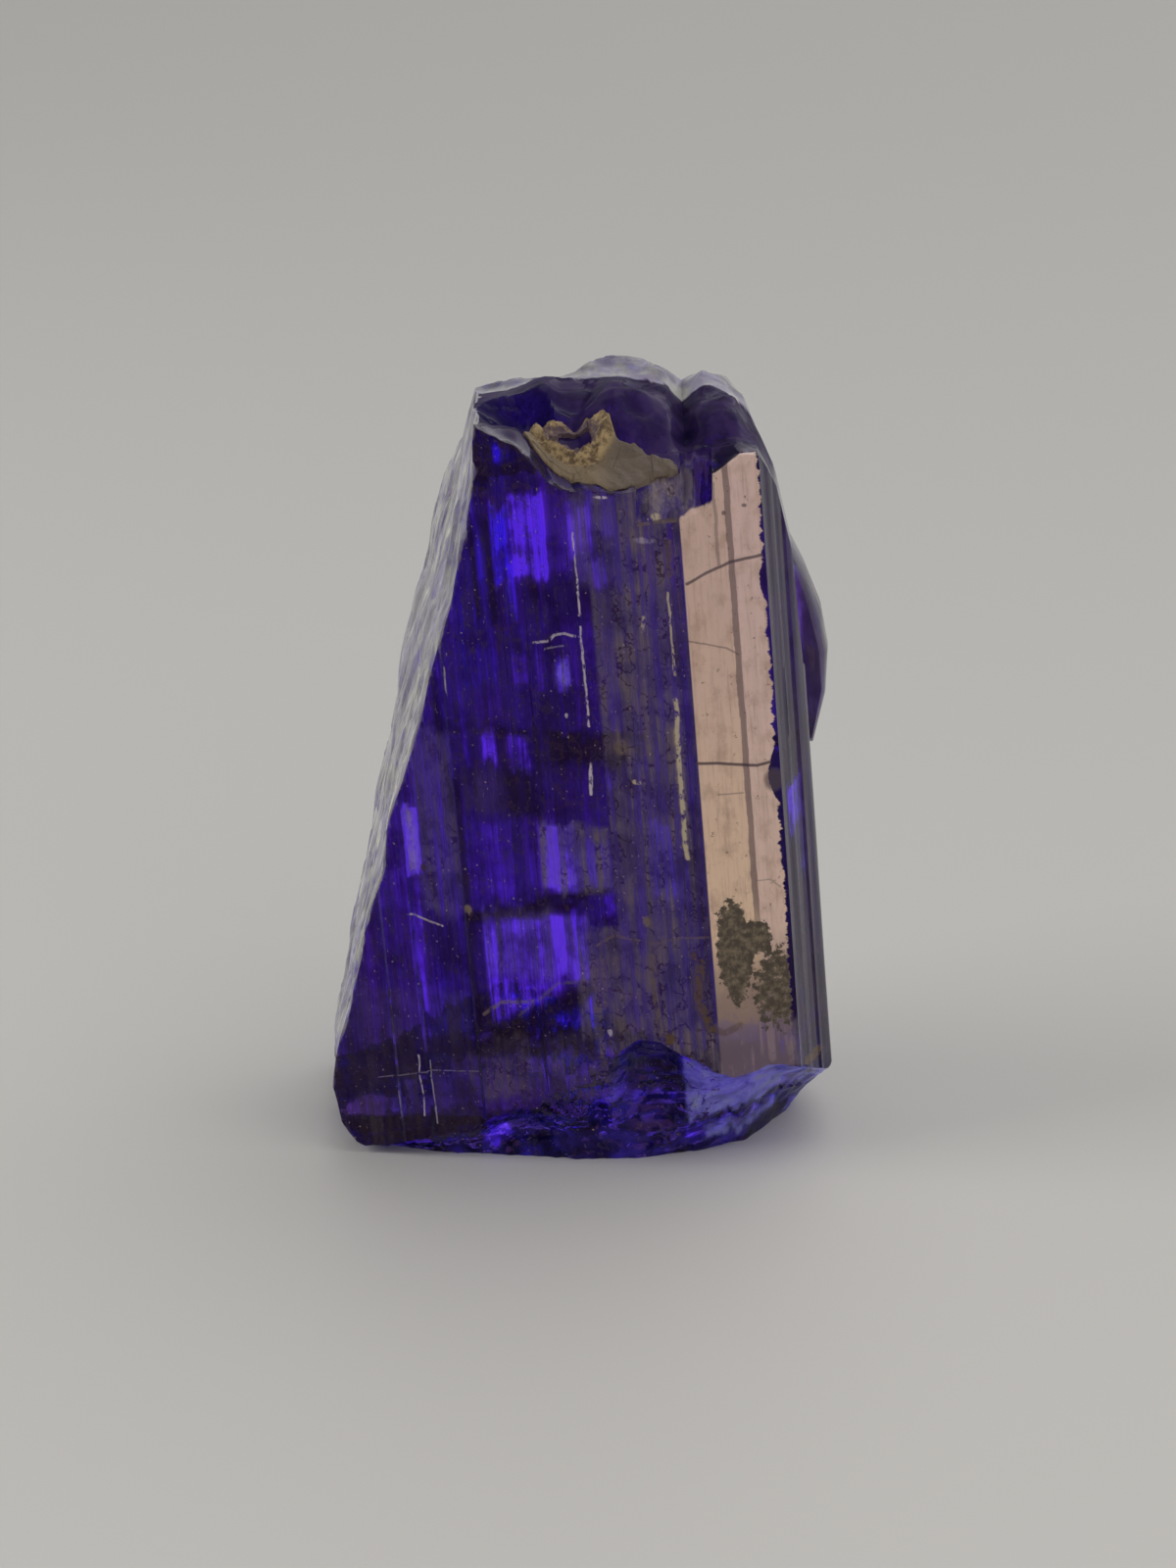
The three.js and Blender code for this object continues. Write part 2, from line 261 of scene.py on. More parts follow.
# %% Top break
CUT_FROM, CUT_TO = (-13, -10, -1), (13, 10, 38)
CUT_REACH = 20
LIP_DEPTH, BROW_DEPTH, RIM_DEPTH = -7, -0.5, 3
LIP = [(-6, 33.4), (-4.7, 33.3), (-3, 32.5), (-1.8, 31), (-0.7, 30.5), (1.7, 30.8), (5.2, 31.4),
       (7.1, 32.1), (8, 30.3), (8.75, 27.2), (9.3, 22)]
BROW = [(-6, 33), (-4.6, 33.1), (-1.7, 33.7), (0, 33.7), (3.4, 33.6), (4.1, 32.6), (4.8, 33.2),
        (6.3, 33.2), (7.3, 32), (8.05, 30.3), (8.8, 27.2), (9.35, 22)]
RIM = [(-6, 32.6), (-4.9, 32.95), (-3.3, 33.45), (-1.7, 33.9), (0, 34.25), (1.6, 34.4), (2.5, 34.25),
       (3.5, 33.8), (4.1, 33.4), (5, 33.9), (6, 33.7), (6.8, 32.8), (7.7, 30.3), (8.6, 26.5), (9.2, 22)]
BACK_FALL = 0.95
TOP_FORMS = [
    ("dark dome", (1.7, -2.7), (2.3, 2.7), 0.95),
    ("blue lump", (5.6, -2.3), (1.4, 2.1), 0.75),
    ("left hollow", (-3.1, -2.5), (1.7, 2.1), -0.8),
    ("small hollow", (-0.5, -1.2), (1.2, 1), -0.4),
    ("back hollow", (-1.6, 4.6), (3, 2.4), -0.7),
]
TOP_ACROSS, TOP_DEPTH = (-7, 11), (-9, 10)
TOP_RELIEF, TOP_SWELLS = 0.4, 0.95
TOP_CHIP, TOP_HILL, RIB_CENTRE, RIB_SPACING = 1.3, 0.9, (7, -1), 0.5


def ribs(a, b, at, spacing):
    """Rings of a shell-like break round the point where it began."""
    return np.sin(2 * np.pi * np.hypot(a - at[0], b - at[1]) / spacing)


def top_height(x, y):
    """The height of the break over any point of the section."""
    brow, rim = along(BROW, x), along(RIM, x)
    z = rim - BACK_FALL * (y - RIM_DEPTH)
    z = np.where(y < RIM_DEPTH, mix(brow, rim, (y - BROW_DEPTH) / (RIM_DEPTH - BROW_DEPTH)), z)
    slope = mix(along(LIP, x), brow, (y - LIP_DEPTH) / (BROW_DEPTH - LIP_DEPTH))
    z = np.where(y < BROW_DEPTH, slope, z)
    for _, at, wide, rise in TOP_FORMS:
        z = z + rise * bump(x, y, at, wide)
    z = z + TOP_RELIEF * swell(TOP_SWELLS * x, TOP_SWELLS * y)
    z = z + 0.13 * chips(x / TOP_CHIP, y / TOP_CHIP, 5) + 0.1 * hills(x / TOP_HILL, y / TOP_HILL, 4)
    return z + 0.01 * ribs(x, y, RIB_CENTRE, RIB_SPACING)


def top_place(u, v, w):
    x = mix(*TOP_ACROSS, u)
    y = mix(*TOP_DEPTH, v)
    return x, y, top_height(x, y) if w == 0 else CUT_TO[2]


cut(crystal, bent_block("top break", 120, 126, top_place))
print("top broken:", len(crystal.data.polygons), "faces")

# %% [markdown]
# ## Two ledges at the front edge
# Over the left edge of the pink face two small pieces broke out of the front edge, each with a small floor
# and a wall that leans back. A block leaning back by the wall's own angle cuts both at once, which keeps
# the corner between them crisp. The back of the block is roughened with the same hills and chips as the
# break above.

# %% Ledges
LEDGES = [("grey ledge", 2, 3.95, -7.1, 29.5, 30), ("dark notch", 3.85, 5.2, -7.2, 29.55, 47)]


def ledge_cutter(name, left, right, depth, height, lean_back):
    lean_back = math.radians(lean_back)
    out = (-math.cos(lean_back), math.sin(lean_back))
    up = (math.sin(lean_back), math.cos(lean_back))

    def place(u, v, w):
        x = mix(left, right, v)
        back = 0.12 * hills(3 * v, 3 * u) + 0.1 * chips(5 * v, 8 * u)
        far = CUT_REACH if w == 0 else back
        return x, depth + far * out[0] + CUT_REACH * u * up[0], height + far * out[1] + CUT_REACH * u * up[1]

    return bent_block(name, 90, 16, place)


for ledge in LEDGES:
    cut(crystal, ledge_cutter(*ledge))
print("ledges cut:", len(crystal.data.polygons), "faces")

# %% [markdown]
# ## The cleft left side
# The left side isn't a growth face. It cuts across the striae, bows outwards, and rounds under at its foot.
# Water etched it, so it is covered with small pits that are longer than they are wide. Two lines of
# measured points, one along its front and one along its back, span the surface that the cutter follows.
# Pushing single mesh points by hand would reach the same outline, but not the even spread of pits.

# %% Left side
LEFT_FRONT = [(-1, -9), (0, -9.3), (0.5, -10.3), (1.4, -10.95), (3, -11.3), (5.4, -10.95), (8.6, -10.15),
              (12.3, -9.25), (16.8, -8.3), (22.1, -6.8), (25.6, -5.85), (30, -5.2), (33.7, -4.7), (37, -4.4)]
LEFT_BACK = [(-1, -10.5), (0, -10.9), (1, -11.8), (3.7, -11.6), (7.1, -10.9), (11, -10.1), (15.3, -9.2),
             (19, -8.45), (22.7, -7.6), (27.3, -6.45), (32.6, -5), (37, -3.8)]
LEFT_FRONT_DEPTH, LEFT_BACK_DEPTH = -5.6, 4
ETCH_RELIEF, ETCH_ACROSS, ETCH_UP = 0.34, 0.8, 0.45


def left_face(y, z):
    share = (y - LEFT_FRONT_DEPTH) / (LEFT_BACK_DEPTH - LEFT_FRONT_DEPTH)
    x = mix(along(LEFT_FRONT, z), along(LEFT_BACK, z), share)
    x = x + ETCH_RELIEF * swell(ETCH_ACROSS * y, ETCH_UP * z)
    pits = np.maximum(0, hills(y / 0.5, z / 1.1 + 0.4 * y) - 0.12)
    return x + 0.55 * pits + 0.1 * chips(y / 1.2, z / 2.1, 11)


def left_place(u, v, w):
    y = mix(CUT_FROM[1], CUT_TO[1], u)
    z = mix(STOCK_FROM, STOCK_TO, v)
    return left_face(y, z) if w else -CUT_REACH, y, z


cut(crystal, bent_block("left cleft", 120, 200, left_place))
print("left side cleft:", len(crystal.data.polygons), "faces")

# %% [markdown]
# ## The side growth
# Behind the right side a second, stubby growth stands out, a chamfered slab with a flat floor where it
# ends. It grew together with the prism, so it is joined to it as one body. Its outline as seen from the
# front is drawn in where the slab begins and ends, so that its faces turn inwards as a chamfered growth's
# do. Thirteen rings along its depth are enough, because its faces are smooth.

# %% Side growth
GROWTH = [(5, 16.7), (10.2, 16.9), (10.75, 19.2), (10.85, 21.2), (10.5, 23), (9.75, 24.8),
          (8.9, 26.4), (5, 29)]
GROWTH_REAR, GROWTH_THICK, GROWTH_CHAMFER, GROWTH_RINGS = 7.1, 6.2, 1.2, 13


def make_side_growth():
    outline = np.array(GROWTH)
    inward = outline.mean(axis=0) - outline
    inward = inward / np.linalg.norm(inward, axis=1)[:, None]
    rings = []
    for turn in math.pi * np.linspace(0, 1, GROWTH_RINGS):
        inset = GROWTH_CHAMFER * (1 - math.sin(turn) ** 0.5)
        x, z = (outline + inward * inset).T
        depth = GROWTH_REAR - GROWTH_THICK * (0.5 - 0.5 * math.cos(turn))
        rings.append(np.stack([x, np.full(len(x), depth), z], -1))
    return stacked_rings("side growth", np.array(rings))


cut(crystal, make_side_growth(), "UNION")
print("side growth joined:", len(crystal.data.polygons), "faces")

# %% [markdown]
# ## The undercut foot
# At the front the prism faces stop on a wavy line, and a shell-like break goes in below them to the front
# edge of the flat spot. It has one deep scoop, an oval pit and a glassy scoop at the right. The back and
# the right side broke away too, so the crystal stands on what is left between them. Each break is a cutter
# of its own, because where two of them meet the boolean leaves the sharp edge that a break in crystal has.

# %% Foot breaks
FOOT = [(-13, 0.15), (-9, 0.45), (-5.6, 1.6), (-1.7, 3.7), (2.1, 6), (3.2, 6.05), (4.2, 5.4), (6.4, 4.4),
        (8.4, 4.65), (10.8, 4.1), (13, 3.4)]
SPOT_FRONT = [(-13, -3.4), (-9, -4.2), (-7.4, -4.9), (-1.7, -5.8), (2.2, -5.9), (5.2, -4.9), (7.1, -3.8),
              (9.9, 0.8), (13, 4)]
FACE_DEPTH, LEFT_TURN, RIGHT_TURN, RIGHT_FROM = -7.2, 0.13, 0.32, 6
LIP_STEP, FOOT_CURVE = 0.35, 1.5
SCOOPS = [
    ("deep scoop", (3, 3.9), (2.1, 2.6), 1.1),
    ("oval pit", (0.5, 2.2), (0.5, 0.9), 0.6),
    ("glassy scoop", (7.6, 2.6), (3, 2.4), 0.7),
    ("low left scoop", (-2.6, 1.2), (2.4, 1.3), 0.5),
]
BACK_FOOT = [(-13, 2.2), (-8, 3.4), (-3, 5.6), (1, 4.6), (5, 2.8), (9, 3.6), (13, 4.4)]
SPOT_BACK = [(-13, 1.4), (-8, 2.8), (-2, 2.6), (3, 3.8), (8, 2.8), (13, 0.5)]
BACK_FACE, BACK_CURVE = 7.7, 1.4
GROUND_HALF = 30
RIGHT_FOOT = [(-8, 4.4), (-3, 3.5), (0, 2.5), (3, 3.3), (8, 4.6)]
SPOT_RIGHT = [(-8, 6.6), (-4, 7.2), (-1, 9.3), (2, 9.2), (8, 6)]
RIGHT_FACE, RIGHT_CURVE = 11.1, 0.8


def undercut(z, top, curve):
    """How far out the break has come at a height: 0 at the ground and 1 at the line where the face starts."""
    return np.clip(z / top, 0, 1) ** curve


def foot_place(u, v, w):
    x = mix(CUT_FROM[0], CUT_TO[0], v)
    z = mix(CUT_FROM[2], along(FOOT, x) + 0.25 * hills(x / 0.8, 0 * x), u)
    turn = LEFT_TURN * np.maximum(0, -x) + RIGHT_TURN * np.maximum(0, x - RIGHT_FROM)
    y = mix(along(SPOT_FRONT, x), FACE_DEPTH + turn + LIP_STEP, undercut(z, along(FOOT, x), FOOT_CURVE))
    for _, at, wide, deep in SCOOPS:
        y = y + deep * bump(x, z, at, wide)
    y = y + 0.3 * chips(x / 1.4, z / 0.9, 3) + 0.12 * hills(x / 0.6, z / 0.4)
    y = y + 0.03 * ribs(x, z, (3.2, 6.5), 0.45)
    return x, y if w else -CUT_REACH, z


def back_foot_place(u, v, w):
    x = mix(CUT_FROM[0], CUT_TO[0], v)
    top = along(BACK_FOOT, x)
    z = mix(CUT_FROM[2], top + 0.2 * hills(x, 0 * x), u)
    spot = along(SPOT_BACK, x) + 0.6 * swell(0.7 * x, 0.7 * z)
    y = mix(spot, BACK_FACE, undercut(z, top, BACK_CURVE))
    y = y + 0.25 * chips(x / 1.3, z, 8) + 0.1 * hills(x / 0.6, z / 0.5)
    return x, CUT_REACH if w else y, z


def right_foot_place(u, v, w):
    y = mix(CUT_FROM[1], CUT_TO[1], u)
    top = along(RIGHT_FOOT, y)
    z = mix(CUT_FROM[2], top + 0.2 * hills(y, 0 * y), v)
    spot = along(SPOT_RIGHT, y) + 0.5 * swell(0.8 * y, 0.8 * z)
    x = mix(spot, RIGHT_FACE, undercut(z, top, RIGHT_CURVE))
    x = x + 0.2 * chips(y / 1.3, z, 6) + 0.08 * hills(y / 0.6, z / 0.5)
    return CUT_REACH if w else x, y, z


def ground_place(u, v, w):
    return mix(-GROUND_HALF, GROUND_HALF, u), mix(-GROUND_HALF, GROUND_HALF, v), -CUT_REACH * (1 - w)


cut(crystal, bent_block("foot break", 56, 170, foot_place))
cut(crystal, bent_block("back foot break", 40, 120, back_foot_place))
cut(crystal, bent_block("right foot break", 90, 40, right_foot_place))
cut(crystal, bent_block("ground", 1, 1, ground_place))
print("foot broken:", len(crystal.data.polygons), "faces")

# %% [markdown]
# ## The ochre crust
# A crumb of the host rock is stuck on the front slope of the top break: a ragged, raised ring with a hollow
# in it, and a smooth tongue that runs down to the right. It is a thin sheet laid on the break. Its two
# lines of measured points give the outline, and fine noise turns the ring into crumbs and the outline into
# a torn edge. Grains scattered over the break would look alike from afar, but would be thousands of loose
# pieces.

# %% Crust
CRUST_GAP, CRUST_FROM, CRUST_TO = 0.06, -2.7, 3.75
CRUST_UPPER = [(-2.7, -4.7), (-2.4, -3.3), (-1.7, -2.7), (-1, -2.9), (-0.4, -3.1), (0.5, -3.2), (0.9, -3.6),
               (1.2, -4.5), (1.9, -4.9), (2.7, -5.2), (3.3, -5.6), (3.65, -5.9)]
CRUST_LOWER = [(-2.7, -4.9), (-2.3, -5.4), (-1.2, -5.9), (-0.6, -6.1), (0, -6.4), (0.8, -6.7), (1.5, -6.75),
               (2.2, -6.45), (3.65, -6.1)]
RING_AT, RING_WIDE, RING_RISE, RING_RADIUS, RING_BAND = (-0.7, -3.9), (1.7, 1.25), 0.5, 0.84, 0.22
HOLLOW_AT, HOLLOW_WIDE, HOLLOW_DEEP = (-0.65, -3.95, 32.6), (0.9, 0.52), 1.4
PLUG_RINGS, PLUG_SIDES = 24, 36
CRUST_ROOT = 0.12


def crust_place(u, v, w):
    x = mix(CRUST_FROM, CRUST_TO, u) + 0.09 * hills(9 * u, 9 * v, 3)
    torn = 0.3 * hills(x / 0.5, v * 2 + w, 5)
    y = mix(along(CRUST_LOWER, x) + torn, along(CRUST_UPPER, x) + torn, v)
    ground = top_height(x, y)
    if not w:
        return x, y, ground - CRUST_ROOT
    edge = np.clip(np.minimum.reduce([v, 1 - v, 4 * u, 4 - 4 * u]) * 6, 0, 1) ** 0.5
    ring = np.clip(1.3 - np.abs(reach(x, y, RING_AT, RING_WIDE) - RING_RADIUS) / RING_BAND, 0, 1)
    lumps = 0.7 + 1.3 * hills(x / 0.42, y / 0.42, 5) + 0.5 * chips(x / 0.28, y / 0.28, 4)
    tongue = 0.14 + 0.05 * hills(x / 0.8, y / 0.8) + 0.04 * hills(x / 0.2, y / 0.2)
    return x, y, ground + CRUST_GAP + edge * (tongue + RING_RISE * ring * lumps)


def hollow_plug():
    """A ragged lump that leaves the ring's hollow when it is taken away."""
    turns = np.linspace(0, 2 * np.pi, PLUG_SIDES, endpoint=False)
    around, down = np.meshgrid(turns, np.linspace(0, np.pi, PLUG_RINGS + 1)[1:-1])
    swollen = 1 + 0.7 * hills(3 * np.cos(around) + 5, 3 * np.sin(around) + 2 * down, 4)
    x = HOLLOW_AT[0] + HOLLOW_WIDE[0] * swollen * np.sin(down) * np.cos(around)
    y = HOLLOW_AT[1] + HOLLOW_WIDE[1] * swollen * np.sin(down) * np.sin(around)
    z = HOLLOW_AT[2] + HOLLOW_DEEP * np.cos(down)
    return stacked_rings("hollow plug", np.stack([x, y, z], -1), flip=True)


crust = bent_block("matrix_crust_body", 230, 120, crust_place)
cut(crust, hollow_plug())
print("crust:", len(crust.data.polygons), "faces")

# %% [markdown]
# ## Into the measured frame
# The forms above are written in the frame they were measured in. The measured solid is centred on its own
# box, so both pieces move by that same small shift. Edges with more than 24 degrees between their faces
# stay sharp, and the rest is shaded smoothly, which keeps the chips crisp without more faces.

# %% Place the pieces
MEASURED_MIDDLE = (-0.451, 0.409, 0)
SHARP_EDGE = math.radians(24)
for piece in (crystal, crust):
    mesh = piece.data
    mesh.transform(Matrix.Translation([-MM * c for c in MEASURED_MIDDLE]))
    mesh.set_sharp_from_angle(angle=SHARP_EDGE)
    print(piece.name, [round(1000 * d, 2) for d in piece.dimensions], "mm")

# %% [markdown]
# ## Writing finishes as sums
# Each finish below is a formula of a point's place on the crystal. To keep such formulas readable, `Socket`
# wraps a node's output so that it can be added, multiplied and compared like a number, and each sign adds
# its Math node. `|` gives the larger and `&` the smaller of two. `Finish` holds the nodes of one material
# or world, and its `add` method makes any other node. Placing nodes by hand would give the same trees, but
# a formula of a hundred of them can no longer be read there.

# %% Sockets that can be written into sums
class Socket:
    """A node's output that can be written into sums."""

    def __init__(self, finish, plug):
        self.finish, self.plug = finish, plug

    def math(self, operation, *others):
        return self.finish.add("ShaderNodeMath", {"operation": operation}, self, *others)

    def __add__(self, other):
        return self.math("ADD", other)

    def __sub__(self, other):
        return self.math("SUBTRACT", other)

    def __mul__(self, other):
        return self.math("MULTIPLY", other)

    def __truediv__(self, other):
        return self.math("DIVIDE", other)

    def __rsub__(self, other):
        return self.finish.add("ShaderNodeMath", {"operation": "SUBTRACT"}, other, self)

    def __rtruediv__(self, other):
        return self.finish.add("ShaderNodeMath", {"operation": "DIVIDE"}, other, self)

    def __pow__(self, other):
        return self.math("POWER", other)

    __radd__ = __add__
    __rmul__ = __mul__

    def __abs__(self):
        return self.math("ABSOLUTE")

    def __or__(self, other):
        """The larger of two masks."""
        return self.math("MAXIMUM", other)

    def __and__(self, other):
        """The smaller of two masks."""
        return self.math("MINIMUM", other)

    def part(self, name):
        """Another output of the same node."""
        return Socket(self.finish, self.plug.node.outputs[name])


class Finish:
    """The node tree of one material or world."""

    def __init__(self, owner):
        self.owner = owner
        self.owner.use_nodes = True
        self.tree = owner.node_tree
        self.tree.nodes.clear()

    def add(self, kind, settings=None, *values, **named):
        """A node with its settings and its sockets' values or links. A name's _ stands for a space."""
        node = self.tree.nodes.new(kind)
        for key, value in (settings or {}).items():
            setattr(node, key, value)
        plugs = list(zip((plug for plug in node.inputs if plug.enabled), values))
        plugs += [(node.inputs[name.replace("_", " ")], value) for name, value in named.items()]
        for plug, value in plugs:
            if isinstance(value, Socket):
                self.tree.links.new(value.plug, plug)
            else:
                plug.default_value = (*value, 1) if plug.type == "RGBA" else value
        return Socket(self, next(out for out in node.outputs if out.enabled) if node.outputs else None)

    def ramp(self, value, low, high, start=0.0, end=1.0):
        """Smoothly from start, where value is low, to end, where it is high."""
        settings = {"interpolation_type": "SMOOTHSTEP", "clamp": False}
        return self.add("ShaderNodeMapRange", settings, value, low, high, start, end)

    def between(self, value, low, high, soft):
        """1 from low to high and 0 outside."""
        return self.ramp(value, low - soft, low) * self.ramp(value, high, high + soft, 1, 0)

    def blend(self, start, end, share):
        """A mix of two colours."""
        return self.add("ShaderNodeMix", {"data_type": "RGBA", "clamp_factor": True}, share, start, end)

    def noise(self, place, detail=3.0, roughness=0.5):
        """Blender's noise, from 0 to 1, with one swell to each unit of the place."""
        return self.add("ShaderNodeTexNoise", None, Vector=place, Scale=1.0, Detail=detail,
                        Roughness=roughness).part("Fac")

    def vector(self, x, y, z):
        """Three numbers as one place."""
        return self.add("ShaderNodeCombineXYZ", None, x, y, z)

    def move(self, operation, *vectors):
        """Vector Math on places."""
        node = self.add("ShaderNodeVectorMath", {"operation": operation}, *vectors)
        return node.part("Value" if operation in ("DOT_PRODUCT", "DISTANCE", "LENGTH") else "Vector")

    def line(self, place, points, wide):
        """A mask of a line of straight pieces on the front, wide in millimetres."""
        nearest = None
        for start, end in zip(points, points[1:]):
            run = (end[0] - start[0], end[1] - start[1], 0)
            reciprocal = 1 / (run[0] ** 2 + run[1] ** 2)
            from_start = self.move("SUBTRACT", place, (*start, 0))
            share = self.move("DOT_PRODUCT", from_start, tuple(r * reciprocal for r in run)) & 1.0 | 0.0
            foot = self.move("MULTIPLY", self.vector(share, share, 0.0), run)
            off = self.move("DISTANCE", from_start, foot)
            nearest = off if nearest is None else nearest & off
        return self.ramp(nearest, wide * 0.3, wide * 0.8, 1, 0)

    def spot(self, place, at, wide, soft=0.3):
        """A mask of an oval on the front."""
        from_middle = self.move("SUBTRACT", place, (*at, 0))
        off = self.move("MULTIPLY", from_middle, (1 / wide[0], 1 / wide[1], 0))
        return self.ramp(self.move("LENGTH", off), 1 - soft, 1 + soft, 1, 0)


print("finish tools:", ", ".join(name for name in vars(Finish) if not name.startswith("_")))

# %% [markdown]
# ## Places on the crystal
# The marks on the crystal follow its growth, so they are placed by how far across the leaning prism they
# lie and how high, in millimetres. Taking the lean out of the object coordinates gives that first number. A
# texture map would have to be unwrapped and drawn first, and would blur close up, which a formula of the
# place doesn't.

# %% Growth coordinates
def growth_place(finish):
    """(across the prism, depth, height) of a point, in millimetres, with the lean taken out."""
    place = finish.add("ShaderNodeTexCoord").part("Object")
    split = finish.add("ShaderNodeSeparateXYZ", None, place)
    height = split.part("Z") / MM
    depth = split.part("Y") / MM + MEASURED_MIDDLE[1]
    across = split.part("X") / MM + MEASURED_MIDDLE[0] + height * LEAN
    return across, depth, height


def srgb(red, green, blue):
    """A colour as a picture program writes it, turned into light."""
    parts = (red / 255, green / 255, blue / 255)
    return tuple(c / 12.92 if c <= 0.04045 else ((c + 0.055) / 1.055) ** 2.4 for c in parts)


print("mid pink as light:", [round(c, 3) for c in srgb(158, 133, 121)])

# %% [markdown]
# ## Painted light inside the stone
# Looked at from the front, the stone isn't evenly lit. Twin planes and old healed cracks inside it part the
# light into upright strips and blocks: one bright violet patch under the top, a nearly black belt at mid
# height, and a lavender field below it. This light and shade is painted on: each mesh point gets three
# numbers, how much painted light comes through there, how blue it is, and how thick the haze is. The haze
# is grey dust and fine etching in places, and painted pale light on some bright blocks. The lists give the
# blocks from left to right and from low to high, in growth coordinates. A second set of four numbers says
# what kind of face a point is on: the front, the broken foot, painted pale light, or the broken top.
# Cracks modelled inside the stone would light it the same way, but would need far longer to render without
# grain.

# %% Blocks of light and haze
# Painted light and shade seen through the front: a high amount is painted light, a low one painted shade.
LIGHT_BLOCKS = [
    ("left field", -9, -3.6, 12, 33, 0.4, 0.25),
    ("navy field under the lip", -3, 0.4, 30.6, 34, 0.35, 0.8),
    ("blue spot under the lip", -1.35, -0.55, 31.8, 32.5, 0.85, 1),
    ("dark notch", 6.3, 7.9, 29.5, 31.8, 0.2, 0.2),
    ("dark slope over the pink face", 6.3, 9.8, 31.8, 34, 0.2, 0.3),
    ("strip beside the pink face", 5.72, 6.2, 5, 29.4, 0.22, 0.1),
    ("violet strips under the left edge", -3.6, -2, 20.4, 31, 0.42, 0.75),
    ("black strip", -2.65, -2.42, 24.8, 29, 0.06, 0.9),
    ("left blue strip", -2.42, -2.15, 26.8, 29.2, 0.6, 1),
    ("navy strip", -2.1, -1.72, 25, 29.6, 0.1, 0.9),
    ("blue strip", -1.72, -0.95, 26.6, 30, 0.85, 1),
    ("long blue strip", -1.35, -0.9, 25.1, 27.3, 0.6, 0.8),
    ("bright violet patch", -0.9, 0.15, 27, 30.4, 1.05, 0.3),
    ("brightest strip", 0.15, 0.55, 27.1, 30.7, 1.15, 0.35),
    ("dim strip", 0.55, 1.6, 27.1, 31, 0.52, 0.1),
    ("lilac patch", 1.6, 2.5, 27.7, 30.2, 0.9, 0.05),
    ("lilac strips", 2.5, 3.5, 28.8, 31, 0.55, 0),
    ("low lilac patch", 1.7, 3, 26.4, 28, 0.6, 0.1),
    ("dark belt under the top", -0.9, 3.6, 24.9, 26.6, 0.2, 0.3),
    ("purple block", -1.35, -0.7, 22.1, 23.6, 0.68, 0),
    ("violet strip", -0.35, 0.05, 22, 24, 0.5, 0.1),
    ("pale blue window", 0.45, 1.12, 22.1, 23.3, 0.95, 0.35),
    ("dark block", -0.3, 1.5, 20.3, 22, 0.2, 0.4),
    ("plum strips", 1.2, 3.2, 20.4, 24, 0.32, 0),
    ("dim field over the belt", -3.6, -0.4, 20.3, 22, 0.34, 0.2),
    ("black belt", -0.1, 3.3, 18.75, 19.95, 0.05, 0.5),
    ("end of the black belt", -1, -0.1, 18.5, 20, 0.2, 0.5),
    ("bright spot", -2.95, -2.35, 18.75, 19.9, 0.95, 0.2),
    ("lilac spot", -1.9, -1, 19.15, 19.9, 0.72, 0.1),
    ("dim spot", -1.9, -0.9, 18.2, 19.1, 0.5, 0.1),
    ("plum strips at the left edge", -6.2, -4.3, 16.1, 20, 0.45, 0),
    ("smoky block", -3.9, -2.2, 16.4, 18.5, 0.2, 0),
    ("navy block", -2.1, -0.7, 16.3, 18.5, 0.08, 0.6),
    ("dim block under the belt", -0.6, 2.3, 16.9, 18.7, 0.28, 0.1),
    ("small lilac window", 2.3, 3, 17.8, 18.5, 0.55, 0.2),
    ("bright bar", -6.72, -6.1, 13.3, 16.3, 1.6, 0.05),
    ("bar's faint end", -6.9, -6.2, 5.8, 12.9, 0.6, 0.2),
    ("violet field", -6.05, -4.45, 11.6, 16.1, 0.45, 0.05),
    ("dark seam", -4.45, -4.12, 5, 18, 0.16, 0.2),
    ("streaky field", -4.1, -2, 12.4, 15.9, 0.52, 0.1),
    ("dim field", -2, -0.85, 13, 16, 0.4, 0.2),
    ("lavender field", -0.85, 0.7, 12.9, 15.9, 0.95, 0.15),
    ("lavender field's right side", 0.7, 2.15, 12.9, 15.2, 0.55, 0.25),
    ("blue window", 1.6, 2.2, 11.7, 13, 0.8, 0.4),
    ("violet field under the strokes", -3.65, 0.2, 8.8, 11.9, 0.76, 0.15),
    ("brightest low strip", 0.2, 1, 9, 12, 0.88, 0.2),
    ("low violet field", -3.65, -0.4, 6.2, 8.8, 0.76, 0.2),
    ("blue field", -6.1, -4.6, 5.8, 9.4, 0.5, 0.5),
    ("dark violet field", -9, -7, 8.4, 11.2, 0.32, 0.2),
    ("dusty corner", -12, -8.5, 1.4, 8, 0.3, 0.1),
    ("deep blue box", -8.4, -6.5, 1.75, 4.4, 0.3, 0.8),
    ("second deep blue box", -6.4, -4.6, 1.8, 4.2, 0.3, 0.8),
    ("navy shade over the foot", -3.6, 0.9, 5.1, 6.4, 0.07, 0.7),
    ("blue glow beside the shade", 0.5, 0.95, 6.5, 8.3, 0.85, 0.7),
    ("dusty field", 0.9, 2.4, 5.5, 11, 0.3, 0),
    ("band's dim top", 3.7, 6.2, 17, 29, 0.34, 0),
    ("band's blue strip", 3.85, 4.95, 12.8, 16.2, 0.55, 0.5),
    ("band's deep blue strip", 4, 4.95, 6.8, 11, 0.3, 0.8),
    ("right strip", 9.85, 12, 4, 31, 0.14, 0),
    ("lilac window of the right strip", 10, 10.65, 15.2, 17.4, 1, 0.1),
    ("its faint end", 10.3, 10.65, 12.8, 15.2, 0.5, 0.2),
]
